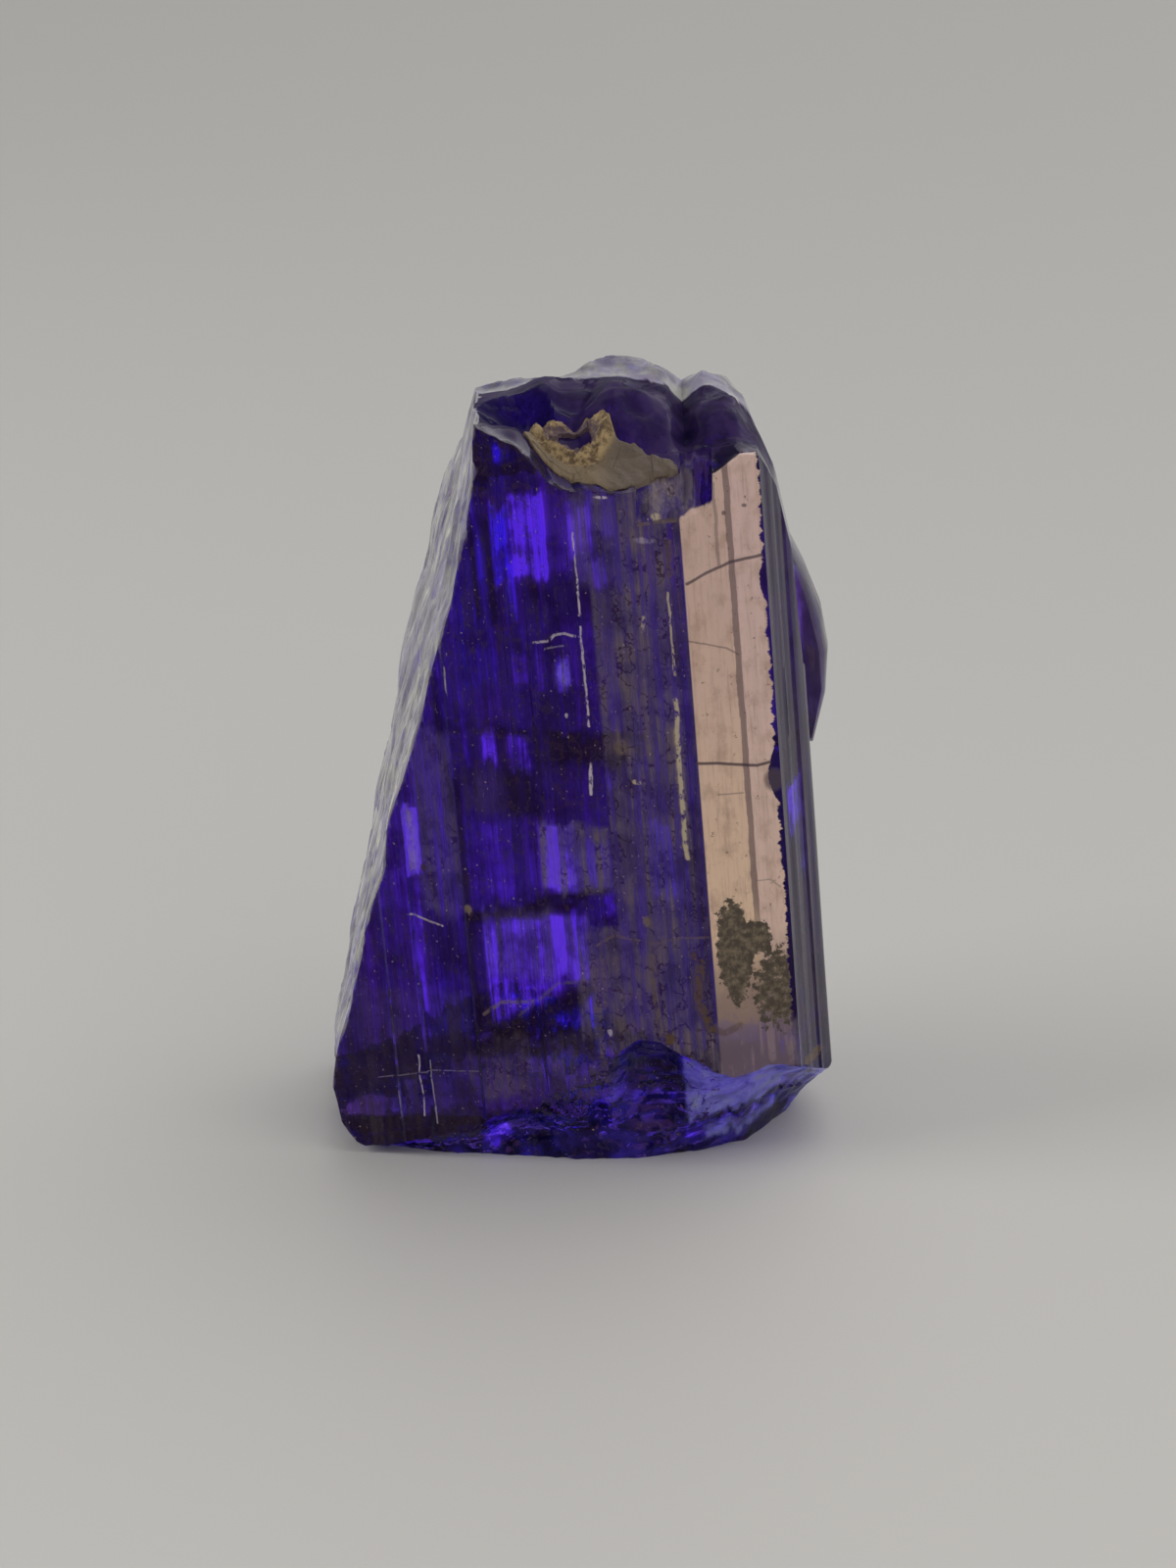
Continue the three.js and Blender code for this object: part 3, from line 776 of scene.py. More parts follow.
# Painted flashes of light and painted shade on the broken foot.
FOOT_LIGHT_BLOCKS = [
    ("blue flash", -2.4, -1.1, 2.3, 3.3, 1, 0.5),
    ("flash near the flat spot", -4.6, -3.3, 0.4, 1.5, 1, 0.55),
    ("slope under the shade", -0.6, 1.6, 2.6, 5.4, 0.62, 0.6),
    ("black scoop", 2.1, 4.45, 2.9, 6, 0.16, 0.8),
    ("floor of the scoop", 2.3, 4.5, 1.6, 2.9, 0.6, 0.8),
    ("glassy scoop", 4.6, 10, 1.8, 5.2, 0.92, 0.4),
    ("dark streak", 4.4, 9, 1.45, 1.8, 0.3, 0.8),
    ("pale streak", 4.4, 8.6, 0.9, 1.4, 0.9, 0.6),
]
# Painted shade: dark strokes that take light away along wisps, over the foot and along a wavy healed crack.
DARK_STROKES = [
    ("upper brush stroke", [(-1.7, 12.2), (0, 12.6), (2.1, 13)], 0.22),
    ("lower brush stroke", [(-4.6, 11.5), (-2, 11.8), (0.5, 12.15)], 0.27),
    ("shade's slanting top", [(-4.2, 5.6), (-1.2, 7.1), (0.9, 8.4)], 0.5),
    ("wavy crack", [(-5.6, 20.2), (-1, 20.1), (1.5, 19.9), (4.2, 20)], 0.1),
]
# On the lilac patches, the window, the bright bar and the lavender field the haze is painted pale light.
HAZE_BLOCKS = [
    ("fine dust all over", -14, 14, -1, 36, 0.04),
    ("stepped band", 2.3, 6.25, 5, 31, 0.5),
    ("lilac patches", 1.5, 3.6, 26.4, 31, 0.34),
    ("upper ledge", 4.7, 6.95, 29.6, 31.5, 0.85),
    ("strip beside the pink face", 5.72, 6.2, 5, 29.4, 0.25),
    ("window", 0.45, 1.12, 22.1, 23.3, 0.3),
    ("bright bar", -6.72, -6.1, 13.3, 16.3, 0.5),
    ("violet field", -6.2, -4.4, 11.6, 20, 0.28),
    ("smoky block", -3.9, -2.2, 16.4, 18.5, 0.16),
    ("lavender field", -0.85, 2.2, 12.9, 15.9, 0.5),
    ("violet field under the strokes", -3.65, 1, 8.8, 11.9, 0.26),
    ("left foot", -12, -4.6, -1, 8, 0.14),
    ("dusty field", 0.2, 2.4, 5.4, 11.2, 0.5),
    ("over the foot break", -5, 2.4, 3, 5.2, 0.3),
    ("violet field under the shade", -3.6, 0.9, 4.9, 6, 0.2),
    ("under the pink face", 4.8, 10.2, 4.4, 7, 0.6),
    ("right strip", 9.85, 12, 4, 31, 0.18),
]
# Painted sheen on the broken foot: pale blue light on the glassy scoop and a pale streak.
FOOT_SHEEN_BLOCKS = [
    ("glassy scoop", 4.6, 10, 1.8, 5, 0.72),
    ("slope under the shade", -0.6, 1.6, 2.6, 5.4, 0.14),
    ("blue flash", -2.4, -1.1, 2.3, 3.3, 0.12),
    ("pale streak", 5.3, 8.6, 0.7, 1.3, 0.5),
]
SOFT_SIDE, SOFT_END = 0.09, 0.22
AMOUNT, BLUENESS = 5, 6
FIELD_LIGHT, FIELD_BLUENESS = 0.3, 0.2
# The broken foot starts with a thin painted sheen.
FOOT_LIGHT, FOOT_BLUENESS, FOOT_SHEEN_START = 0.5, 0.7, 0.05
STROKE_SHADE, STROKE_TAPER = 0.85, 0.8


def soft_box(across, height, left, right, low, high):
    """1 inside the block, 0 outside, with ragged ends and straight upright sides."""
    ragged = height + 0.8 * hills(across / 0.34, height / 3, 3)
    inside = np.minimum(across - left, right - across) / SOFT_SIDE
    between = np.minimum(ragged - low, high - ragged) / SOFT_END
    return np.clip(0.5 + inside, 0, 1) * np.clip(0.5 + between, 0, 1)


def upright_cells(across, height, wide, tall):
    """A repeatable brightness from 0 to 1 for each of many upright strips that are broken into lengths."""
    strip = np.floor(across / wide + 0.4 * hills(across, height / 9, 2))
    length = np.floor(height / tall * (0.6 + 0.8 * uneven(strip + 3)) + 9 * uneven(strip))
    return uneven(strip * 17.3 + length * 5.7)


def painted_blocks(across, height, start, blocks, column=AMOUNT):
    """One painted number at every point: start, and inside each block the number in its column."""
    value = start + 0 * across
    for block in blocks:
        value = mix(value, block[column], soft_box(across, height, *block[1:5]))
    return value


def paint_front(across, height, on_foot):
    """Painted light and shade, haze and blueness of the front, from the lists of blocks and strokes."""
    light = painted_blocks(across, height, FIELD_LIGHT, LIGHT_BLOCKS)
    for _, points, thick in DARK_STROKES:
        off = height - along(points, across) + 0.25 * hills(across / 0.6, 0 * across, 4)
        ends = np.clip(np.minimum(across - points[0][0], points[-1][0] - across) / STROKE_TAPER, 0, 1)
        stroke = np.clip(1.5 - np.abs(off) / thick / (0.3 + 0.7 * ends), 0, 1) * (ends > 0)
        light = light * (1 - STROKE_SHADE * stroke)
    light = mix(light, painted_blocks(across, height, FOOT_LIGHT, FOOT_LIGHT_BLOCKS), on_foot)
    haze = painted_blocks(across, height, 0, HAZE_BLOCKS)
    haze = mix(haze, painted_blocks(across, height, FOOT_SHEEN_START, FOOT_SHEEN_BLOCKS), on_foot)
    blue = painted_blocks(across, height, FIELD_BLUENESS, LIGHT_BLOCKS, BLUENESS)
    blue = mix(blue, painted_blocks(across, height, FOOT_BLUENESS, FOOT_LIGHT_BLOCKS, BLUENESS), on_foot)
    return light, haze, blue


def paint_sides(girth, height):
    """Painted light, haze and blueness of the other sides: upright strips broken into lengths."""
    wide_strips = upright_cells(girth, height, 0.75, 3.2)
    narrow_strips = upright_cells(girth + 40, height, 0.33, 5)
    light = 0.55 + 0.5 * (wide_strips * 0.55 + narrow_strips * 0.45)
    haze = 0.04 + 0.35 * np.clip(hills(girth / 2.5, height / 4), 0, 1)
    blue = 0.15 + 0.6 * upright_cells(girth + 90, height, 1.3, 6)
    return light, haze, blue


print("blocks of light:", len(LIGHT_BLOCKS + FOOT_LIGHT_BLOCKS), "and of haze:", len(HAZE_BLOCKS + FOOT_SHEEN_BLOCKS))

# %% [markdown]
# ## Kinds of face
# The lists above hold for the front alone, so every mesh point has to know which face it is on. Its place
# and the way it faces tell that: the left side is where its cutter went and faces left, the broken foot
# lies below the wavy line and behind the growth faces, and the broken top faces up. The back rim of the top
# and the etched left side get a pale painted light: a painted reflection of the pale room on the left side,
# and painted light seen through the thin rim. Such masks can also be painted by hand, but these follow the
# forms when a form is changed.

# %% Light on every point
LEDGE_BOX, LEDGE_DEPTH = (4.2, 8, 29.4, 31.7), -4.6
TOP_FROM, RIGHT_SHADE_FROM, LEFT_PAINTED_REFLECTION = 29.5, 11.3, 0.88
# Where the painted shade of the broken top turns blue: the middle and width of its left hollow.
BLUE_HOLLOW = (-3.1, -2.2), (2.6, 2.4)


def behind_the_faces(across, depth):
    """How far a point lies behind the growth faces of the front."""
    return depth - np.interp(across, *zip(*(corner[1] for corner in CORNERS[:5])))


def places_and_facing(body):
    """Every mesh point's place in millimetres, and how far it faces left, front and up."""
    points, normals = (np.empty(3 * len(body.data.vertices)) for _ in range(2))
    body.data.vertices.foreach_get("co", points)
    body.data.vertices.foreach_get("normal", normals)
    facing = normals.reshape(-1, 3).T * np.array([[-1], [-1], [1]])
    return points.reshape(-1, 3).T / MM + np.array(MEASURED_MIDDLE)[:, None], facing


def face_masks(place, facing):
    """From 0 to 1 at every point: on the left side, the foot break, the front, the top and its back rim."""
    x, depth, height = place
    facing_left, facing_front, facing_up = facing
    across = x + LEAN * height
    behind = behind_the_faces(across, depth)
    on_left = np.clip((left_face(depth, height) + 0.12 - x) / 0.1, 0, 1) * np.clip(facing_left * 4 - 1, 0, 1)
    in_ledges = soft_box(across, height, *LEDGE_BOX) * np.clip((LEDGE_DEPTH - depth) / 0.3, 0, 1)
    on_foot = np.clip((along(FOOT, x) + 0.15 - height) / 0.3, 0, 1) * np.clip((behind - 0.3) / 0.3, 0, 1)
    on_foot = on_foot * np.clip(facing_front * 6 - 0.6, 0, 1) * (1 - on_left)
    on_front = np.maximum.reduce([np.clip((0.5 - behind) / 0.15, 0, 1), on_foot, in_ledges])
    on_top = np.clip((height - TOP_FROM) / 0.6, 0, 1) * np.clip(facing_up * 4 - 0.8, 0, 1) * (1 - in_ledges)
    on_rim = on_top * np.clip((depth - 1.2 - 0.8 * swell(x / 1.5, depth)) / 1.6, 0, 1)
    return on_left, on_foot, on_front, on_top, on_rim


def paint_light(body):
    """Writes painted light and shade, haze and blueness, and the kinds of face, onto the points of the mesh.
    """
    place, facing = places_and_facing(body)
    x, depth, height = place
    across = x + LEAN * height
    on_left, on_foot, on_front, on_top, on_rim = face_masks(place, facing)
    # Painted shade on the right side: less painted light and more haze beyond 11.3 mm across.
    right_side_shade = np.clip((across - RIGHT_SHADE_FROM) / 0.2, 0, 1)

    sides, front = paint_sides(across + 0.8 * depth, height), paint_front(across, height, on_foot)
    light, haze, blue = (mix(*pair, on_front) for pair in zip(sides, front))

    # Painted dim light and painted shade on the broken top: an opaque dark purple cover, thinner near the
    # lip.
    light = mix(light, np.clip(0.3 + 0.6 * hills(x / 1.6, depth / 1.6), 0.12, 0.6), on_top)
    near_the_lip = np.clip((behind_the_faces(across, depth) - 0.4) / 1.2, 0.2, 1)
    top_painted_shade = np.clip(0.8 + 0.5 * hills(x / 1.1 + 7, depth / 1.1), 0.5, 0.92) * near_the_lip
    haze = mix(haze, top_painted_shade, on_top)
    blue = mix(blue, 0.15 + 1.3 * bump(x, depth, *BLUE_HOLLOW), on_top)

    # Pale painted light: a painted reflection of the pale room on the etched left side, and painted rim
    # light.
    etched = hills((depth + 0.35 * height) / 1.1, height / 4.5, 3)
    pale = np.clip(0.72 + 1.4 * etched, 0.3, 1)
    rim_painted_light = on_rim * np.clip(0.55 + 0.8 * hills(x / 1.5, depth / 1.5), 0.25, 0.8)
    pale_light = np.maximum(on_left * LEFT_PAINTED_REFLECTION * pale, rim_painted_light)
    light = mix(mix(light, 0.35 + 0.3 * pale, on_left), 0.75, on_rim) * (1 - 0.7 * right_side_shade)
    haze = np.maximum(mix(mix(haze, 0.2, on_rim), 0.35, right_side_shade), pale_light)

    numbers = {
        "inner_light": (light, haze, blue, 1 + 0 * x),
        "surface_kind": (on_front, on_foot, pale_light > 0.04, on_top * (1 - on_rim)),
    }
    for name, channels in numbers.items():
        layer = body.data.attributes.new(name, "FLOAT_COLOR", "POINT")
        layer.data.foreach_set("color", np.column_stack(channels).ravel().astype(np.float32))
    return np.mean([light, haze, blue], axis=1)


print("mean light, haze and blueness:", paint_light(crystal).round(2))

# %% [markdown]
# ## Marks on the faces
# White cracks and scratches, painted white glints along cracks, painted pale light on a few bright blocks,
# cream, tan and ochre stains, dark pits and a painted shadow under a ledge lie on the front. Each one is a
# line of straight pieces or an oval, given in growth coordinates with its colour, its strength and its
# width. The mask of each is the distance from it, made soft. A drawn picture could hold them too, but these
# stay sharp at any distance and can be moved one by one. A noise breaks them up, so that they look
# weathered and not ruled.

# %% Marks
MARK_COLOURS = {
    "white": srgb(196, 184, 198),
    "cream": srgb(190, 176, 146),
    "ochre": srgb(92, 70, 34),
    "tan": srgb(120, 102, 86),
    "dark": srgb(58, 38, 48),
}
VIOLET_LINES = [
    # Painted glints: the white upright line at 1.7 across and the curved white lines near 24 high are light
    # on cracks.
    ("white", 0.85, 0.07, [(1.74, 28.9), (1.72, 27)]),
    ("white", 0.95, 0.09, [(1.72, 26.9), (1.71, 25.3)]),
    ("white", 0.9, 0.09, [(1.72, 24.8), (1.7, 20.4)]),
    ("white", 0.95, 0.13, [(1.67, 18.7), (1.61, 17.35)]),
    ("white", 0.8, 0.11, [(-0.3, 24.05), (0.3, 24.15), (0.55, 24.42), (1, 24.5), (1.6, 24.35)]),
    ("white", 0.45, 0.08, [(0.1, 23.8), (0.9, 23.95)]),
    ("white", 0.8, 0.09, [(-6.8, 11.55), (-6.2, 11.3), (-5.45, 11.0)]),
    ("white", 0.85, 0.07, [(-7.12, 4.9), (-7.08, 2)]),
    ("white", 0.8, 0.065, [(-6.62, 4.6), (-6.56, 1.6)]),
    ("white", 0.5, 0.07, [(-8.15, 3.1), (-8.12, 1.9)]),
    ("white", 0.45, 0.06, [(-9, 3.7), (-6.6, 4.15), (-4.5, 4.2)]),
    ("cream", 0.9, 0.1, [(5.5, 26.4), (5.52, 22.8)]),
    ("cream", 0.95, 0.2, [(5.5, 21.7), (5.45, 14.6)]),
    ("cream", 0.8, 0.14, [(4.42, 25.3), (4.36, 24.7)]),
    ("tan", 0.7, 0.26, [(3.65, 10), (3.6, 8), (3.75, 6.4)]),
    ("tan", 0.6, 0.12, [(1.2, 10.4), (2, 10.9), (3.6, 10.6), (5, 10.9), (6.1, 11)]),
    ("tan", 0.65, 0.16, [(-4, 7), (-3.1, 7.6), (-2.3, 7.6), (-1.6, 7.7)]),
    ("tan", 0.4, 0.14, [(-2.4, 7), (-0.6, 8.6), (1.5, 8.8)]),
    ("ochre", 0.85, 0.4, [(5.65, 9.8), (5.5, 8), (5.85, 6.9), (6.4, 6.6)]),
    ("ochre", 0.7, 0.3, [(5.75, 28.6), (5.72, 27.2)]),
    # Painted shadow: the dark line under the step of the upper ledge.
    ("tan", 0.7, 0.16, [(4.5, 29.3), (5.2, 29.45), (6.1, 29.55)]),
]
VIOLET_SPOTS = [
    # Painted glints at (3.05, 30.45), (0.82, 20.85) and (1.45, 6.4); painted pale light at (-6.42, 14.9) and
    # (0.78, 22.7).
    ("white", 0.9, (3.05, 30.45), (0.3, 0.07)),
    ("white", 0.8, (0.82, 20.85), (0.07, 0.12)),
    ("white", 0.5, (4.75, 28.65), (0.4, 0.14)),
    ("white", 0.7, (-4.25, 22.3), (0.05, 0.7)),
    ("white", 0.8, (1.45, 6.4), (0.14, 0.24)),
    ("white", 0.3, (-6.42, 14.9), (0.3, 1.3)),
    ("white", 0.16, (5.55, 30.5), (0.85, 0.7)),
    ("white", 0.32, (0.78, 22.7), (0.3, 0.5)),
    ("cream", 0.9, (3.55, 17.97), (0.22, 0.13)),
    ("cream", 0.9, (5.25, 29.65), (0.22, 0.16)),
    ("tan", 0.7, (3.05, 19.5), (0.32, 0.4)),
    ("tan", 0.95, (-4.25, 11.85), (0.17, 0.24)),
    ("tan", 0.85, (3.5, 11.6), (0.2, 0.28)),
    ("ochre", 0.9, (4.1, 6.2), (0.25, 0.28)),
    ("ochre", 0.8, (5.4, 10.1), (0.12, 0.2)),
    ("dark", 0.9, (-6, 13.7), (0.16, 0.18)),
]
PINK_LINES = [
    ("ochre", 0.6, 0.28, [(6, 6.75), (6.5, 6.5), (7.2, 6.75)]),
    ("dark", 0.8, 0.12, [(6.35, 26.8), (7, 27.1), (7.5, 27.3), (8.2, 27.55), (9.6, 27.75)]),
    ("dark", 0.85, 0.12, [(6.2, 18.9), (7, 18.82), (8.2, 18.6), (8.8, 18.5), (9.35, 18.6)]),
    ("dark", 0.5, 0.07, [(6.2, 24.32), (7.8, 23.85), (8.3, 23.5)]),
    ("dark", 0.4, 0.07, [(7, 17.4), (8.1, 17.35)]),
    ("dark", 0.35, 0.06, [(8.4, 13.3), (9, 13.3), (9.4, 12.9)]),
    ("dark", 0.45, 0.12, [(7.78, 31), (7.74, 27.5)]),
]
PINK_SPOTS = [
    ("ochre", 0.8, (10.4, 4.4), (0.5, 0.3)),
    ("dark", 0.7, (9.5, 17.8), (0.42, 0.5)),
    ("dark", 0.7, (8.07, 29.7), (0.09, 0.1)),
    ("dark", 0.7, (9, 29.95), (0.11, 0.08)),
]


def add_marks(finish, place, lines, spots, skin, cover, broken):
    """Lays the lines and spots over a film: its colour and its cover change where they are."""
    for colour, shade in MARK_COLOURS.items():
        drawn = []
        for name, strength, wide, points in lines:
            if name == colour:
                drawn.append(finish.line(place, points, wide) * strength)
        for name, strength, at, wide in spots:
            if name == colour:
                drawn.append(finish.spot(place, at, wide) * strength)
        if not drawn:
            continue
        mask = drawn[0]
        for mark in drawn[1:]:
            mask = mask | mark
        if colour != "dark":
            mask = mask * broken
        skin, cover = finish.blend(skin, shade, mask), cover | mask
    return skin, cover


print("marks:", len(VIOLET_LINES + VIOLET_SPOTS), "violet side,", len(PINK_LINES + PINK_SPOTS), "pink side")

# %% [markdown]
# ## The painted pink reflection
# One growth face at the right of the front shows a satin pink-beige: a painted reflection of warm light,
# laid on as an opaque satin film. It ends on the left at the edge of the prism, and on the right in a
# toothed line. Its mask picks the points that lie in the plane of that face. A separate thin mesh would do
# too, but would leave a step at its edge. The painted reflection is layered from broad to fine: two pinks
# from foot to top, upright grain, blotches, brown pits, a dark middle stripe, and a plum end below, where
# the painted reflection fades.

# %% Pink face
PINK_FACE_FROM, PINK_FACE_TO = (6.25, -7.3), (9.85, -5.9)
STAIN_TAN, STAIN_BROWN = srgb(118, 104, 84), srgb(66, 56, 46)


def pink_face(finish, across, depth, height):
    """The mask of the face with the painted pink reflection: the points in its plane, with a toothed right
    edge.
    """
    run = np.subtract(PINK_FACE_TO, PINK_FACE_FROM)
    outward = np.array([run[1], -run[0]]) / np.hypot(*run)
    off_plane = (across - PINK_FACE_FROM[0]) * outward[0] + (depth - PINK_FACE_FROM[1]) * outward[1]
    teeth = finish.noise(finish.vector(across * 0.8, 0.0, height * 2.6), 4, 0.7)
    bays = finish.spot(finish.vector(across, height, 0.0), (9.9, 26.6), (0.5, 0.7)) * 0.35
    bays = bays + finish.spot(finish.vector(across, height, 0.0), (9.9, 18), (0.7, 1.1)) * 0.5
    right_edge = 9.5 + height * 0.006 + (teeth - 0.5) * 0.8 - bays
    face = finish.ramp(abs(off_plane), 0.2, 0.32, 1, 0) * finish.ramp(across, 6.2, 6.28)
    return face * finish.ramp(across - right_edge, -0.04, 0.04, 1, 0)


def painted_pink_reflection(finish, across, height, crumbs):
    """A painted satin pink-beige reflection with upright grain, brown pits, a dark middle stripe and a plum
    end below.
    """
    grain = finish.noise(finish.vector(across * 7, 0.0, height * 0.5), 3, 0.6)
    blotch = finish.noise(finish.vector(across * 1.3, 4.0, height * 0.9), 4, 0.6)
    skin = finish.blend(srgb(234, 202, 171), srgb(212, 181, 168), finish.ramp(height, 8, 30))
    skin = finish.blend(skin, srgb(226, 196, 190), finish.between(across, 8.45, 9.5, 0.1) * 0.6)
    skin = finish.blend(skin, srgb(150, 124, 112), finish.ramp(grain, 0.48, 0.8) * 0.5)
    skin = finish.blend(skin, srgb(166, 134, 114), finish.ramp(blotch, 0.45, 0.7) * 0.5)
    skin = finish.blend(skin, srgb(112, 82, 70), finish.ramp(crumbs, 0.6, 0.68) * 0.65)
    stripe = finish.between(across + (blotch - 0.5) * 0.2, 8.2, 8.42, 0.05) * finish.ramp(height, 10, 12.5)
    skin = finish.blend(skin, srgb(112, 88, 88), stripe * 0.75)
    skin = finish.blend(skin, srgb(150, 126, 112), finish.ramp(height + blotch * 3, 13, 9))
    ragged = height + (blotch - 0.5) * 4 - finish.ramp(across, 8, 8.8) * 1.6
    return finish.blend(skin, srgb(132, 112, 124), finish.ramp(ragged, 6.6, 7.2, 1, 0))


def pink_stain(finish, on_front, crumbs):
    """The mask of the olive stain on the lower half of the pink face."""
    stain = finish.spot(on_front, (7.2, 10.2), (0.75, 2.4), 0.35)
    stain = stain | finish.spot(on_front, (8.2, 10.7), (0.7, 0.8), 0.5)
    stain = stain | finish.spot(on_front, (9, 8.3), (1.1, 2), 0.5) * 0.8
    return finish.ramp(stain * 0.36 + crumbs, 0.64, 0.72)


print("pink face starts as light:", [round(c, 3) for c in srgb(234, 202, 171)])

# %% [markdown]
# ## Tanzanite
# Tanzanite is clear zoisite. It bends light strongly, and it takes in green and red far more than blue, so
# thick parts go to deep violet. Plain absorption inside the stone does that. The painted light tints what
# comes through the surface, with hair-fine upright streaks over it, and the blueness picks between violet
# and blue. A painted glow, light given off where the painted light of the front is brightest, makes those
# patches brighter. Dust, the stains, the pale painted reflection and rim light, the painted pink reflection
# and the painted shade of the broken top are films on the stone, mixed over it by their masks. Violet glass
# alone would be simpler, but it shows neither the lit strips nor the dust. The glass is mixed once for each
# kind of face, so that a ray works out only the films it meets.

# %% Tanzanite finish
TANZANITE_IOR = 1.69
ABSORBED_PER_METRE = 330
UNABSORBED = (0.55, 0.17, 0.985)
VIOLET_TINT, BLUE_TINT = (1, 0.9, 1), (0.25, 0.45, 1)
# Painted glow: light given off where the painted light of the front is brightest, though the stone is no
# lamp.
VIOLET_GLOW, BLUE_GLOW, GLOW_STRENGTH = (0.15, 0.035, 1), (0.03, 0.006, 1), 0.38
MIRRORED = (0.2, 0.07, 0.36)
HAZE_GREY = srgb(104, 92, 112)
HAZE_BROWN = srgb(104, 90, 78)
# Painted sheen of the broken foot: pale blue light on its glassy scoop.
FOOT_SHEEN = srgb(130, 132, 198)
# Painted shade of the broken top: dark purple, darker in places, and blue in the left hollow.
TOP_PURPLE, TOP_DARK, TOP_BLUE = srgb(62, 46, 90), srgb(42, 30, 64), srgb(18, 6, 66)
# Pale painted reflection of the room and painted rim light, from white to lilac.
REFLECTION_WHITE, REFLECTION_LILAC = srgb(228, 228, 216), srgb(178, 172, 196)
HAIR_PALE, SPECK_PALE = srgb(150, 132, 140), srgb(164, 146, 136)
BLACK = (0, 0, 0)


def tanzanite_finish():
    finish = Finish(bpy.data.materials.new("tanzanite"))
    across, depth, height = growth_place(finish)
    painted = finish.add("ShaderNodeAttribute", {"attribute_name": "inner_light"})
    split = finish.add("ShaderNodeSeparateColor", None, painted.part("Color"))
    kind = finish.add("ShaderNodeAttribute", {"attribute_name": "surface_kind"})
    kinds = finish.add("ShaderNodeSeparateColor", None, kind.part("Color"))
    front, broken_foot, painted_pale_light = kinds.part("Red"), kinds.part("Green"), kinds.part("Blue")
    broken_top = kind.part("Alpha")
    light, haze, blue = split.part("Red"), split.part("Green"), split.part("Blue")
    pink_zone = finish.ramp(across, 6.1, 6.2)

    streaks = finish.noise(finish.vector(across * 3.4, depth * 3.4, height * 0.14), 4, 0.6)
    hairs = finish.noise(finish.vector(across * 8, depth * 8, height * 0.16), 3, 0.65)
    clouds = finish.noise(finish.vector(across * 0.9, depth * 0.9, height * 0.7), 5, 0.6)
    flow = finish.noise(finish.vector(across * 0.5 + height * 0.8, 9.0, height * 1.4 - across * 0.5), 3, 0.45)
    # The painted light, broken into upright streaks and ripples, tints what comes through: low is painted
    # shade.
    upright = finish.ramp(streaks, 0.3, 0.7, 1.25, 0.6) * finish.ramp(hairs, 0.4, 0.7, 1.08, 0.78)
    rippled = finish.ramp(flow, 0.35, 0.65, 0.65, 1.15)
    light = light * finish.ramp(clouds, 0.3, 0.6, 0.65, 1.2) * (upright + (rippled - upright) * broken_foot)
    tint = finish.blend(VIOLET_TINT, BLUE_TINT, blue)
    tint = finish.blend(BLACK, tint, light * light)
    painted_glow = finish.blend(BLACK, finish.blend(VIOLET_GLOW, BLUE_GLOW, blue), light ** 4 * front)
    gloss = 0.05 + clouds * 0.08

    def gem():
        """The clear stone, afresh for each mix."""
        return finish.add("ShaderNodeBsdfPrincipled", None, Base_Color=tint, Roughness=gloss,
                          IOR=TANZANITE_IOR, Transmission_Weight=1.0, Specular_Tint=MIRRORED,
                          Emission_Color=painted_glow, Emission_Strength=GLOW_STRENGTH)

    def film(colour, roughness, gleam, sheen):
        """An opaque layer on the stone."""
        return finish.add("ShaderNodeBsdfPrincipled", None, Base_Color=colour, Roughness=roughness,
                          Specular_IOR_Level=gleam, Sheen_Weight=sheen, Sheen_Roughness=0.35)

    grained = finish.ramp(streaks, 0.32, 0.68, 0.55, 1.45) * finish.ramp(hairs, 0.4, 0.7, 0.92, 1.12)
    grained = grained + (finish.ramp(flow, 0.35, 0.65, 0.6, 1.25) - grained) * broken_foot
    dust = haze * grained * finish.ramp(clouds, 0.35, 0.65, 0.6, 1.3)
    etch = finish.noise(finish.vector(depth * 1.1 + height * 0.25, across * 0.2, height * 0.28), 5, 0.6)
    creased = finish.ramp(abs(etch - 0.5), 0.002, 0.05, 0.75, 1) * finish.ramp(etch, 0.38, 0.6, 0.45, 1.1)
    # The cover is dust on the sides, pale painted light on the left side and rim, painted shade on the top.
    dust_and_painted_light = dust + (haze * creased - dust) * painted_pale_light
    dust_and_painted_light = dust_and_painted_light + (haze - dust_and_painted_light) * broken_top
    pale_light_colour = finish.blend(REFLECTION_WHITE, REFLECTION_LILAC, finish.ramp(clouds, 0.35, 0.6))
    # The broken top is covered with its painted shade.
    top_shade_colour = finish.blend(TOP_PURPLE, TOP_DARK, finish.ramp(clouds, 0.4, 0.6))
    top_shade_colour = finish.blend(top_shade_colour, TOP_BLUE, blue)
    plain_colour = finish.blend(HAZE_GREY, top_shade_colour, broken_top)
    painted_light_or_dust_film = finish.add("ShaderNodeMixShader", None, painted_pale_light, film(plain_colour, 0.5, 0.01, 0.0),
                               film(pale_light_colour, 0.5, 0.1, 0.6))
    plain = finish.add("ShaderNodeMixShader", None, dust_and_painted_light, gem(), painted_light_or_dust_film)

    wobble = finish.vector((clouds - 0.5) * 0.35, 0.0, 0.0)
    on_front = finish.move("ADD", finish.vector(across, height, 0.0), wobble)
    broken = finish.ramp(finish.noise(finish.vector(across * 4, 2.0, height * 2.2), 3, 0.7), 0.36, 0.5)

    specks = finish.noise(finish.vector(across * 7, 1.0, height * 6), 2, 0.6)
    veins = finish.noise(finish.vector(across * 0.8, 3.0, height * 0.9), 4, 0.55)
    vein = finish.ramp(abs(veins - 0.5), 0.006, 0.022, 1, 0) * finish.ramp(streaks, 0.4, 0.55)
    skin = finish.blend(HAZE_GREY, HAZE_BROWN, finish.ramp(clouds, 0.45, 0.62) * 0.4)
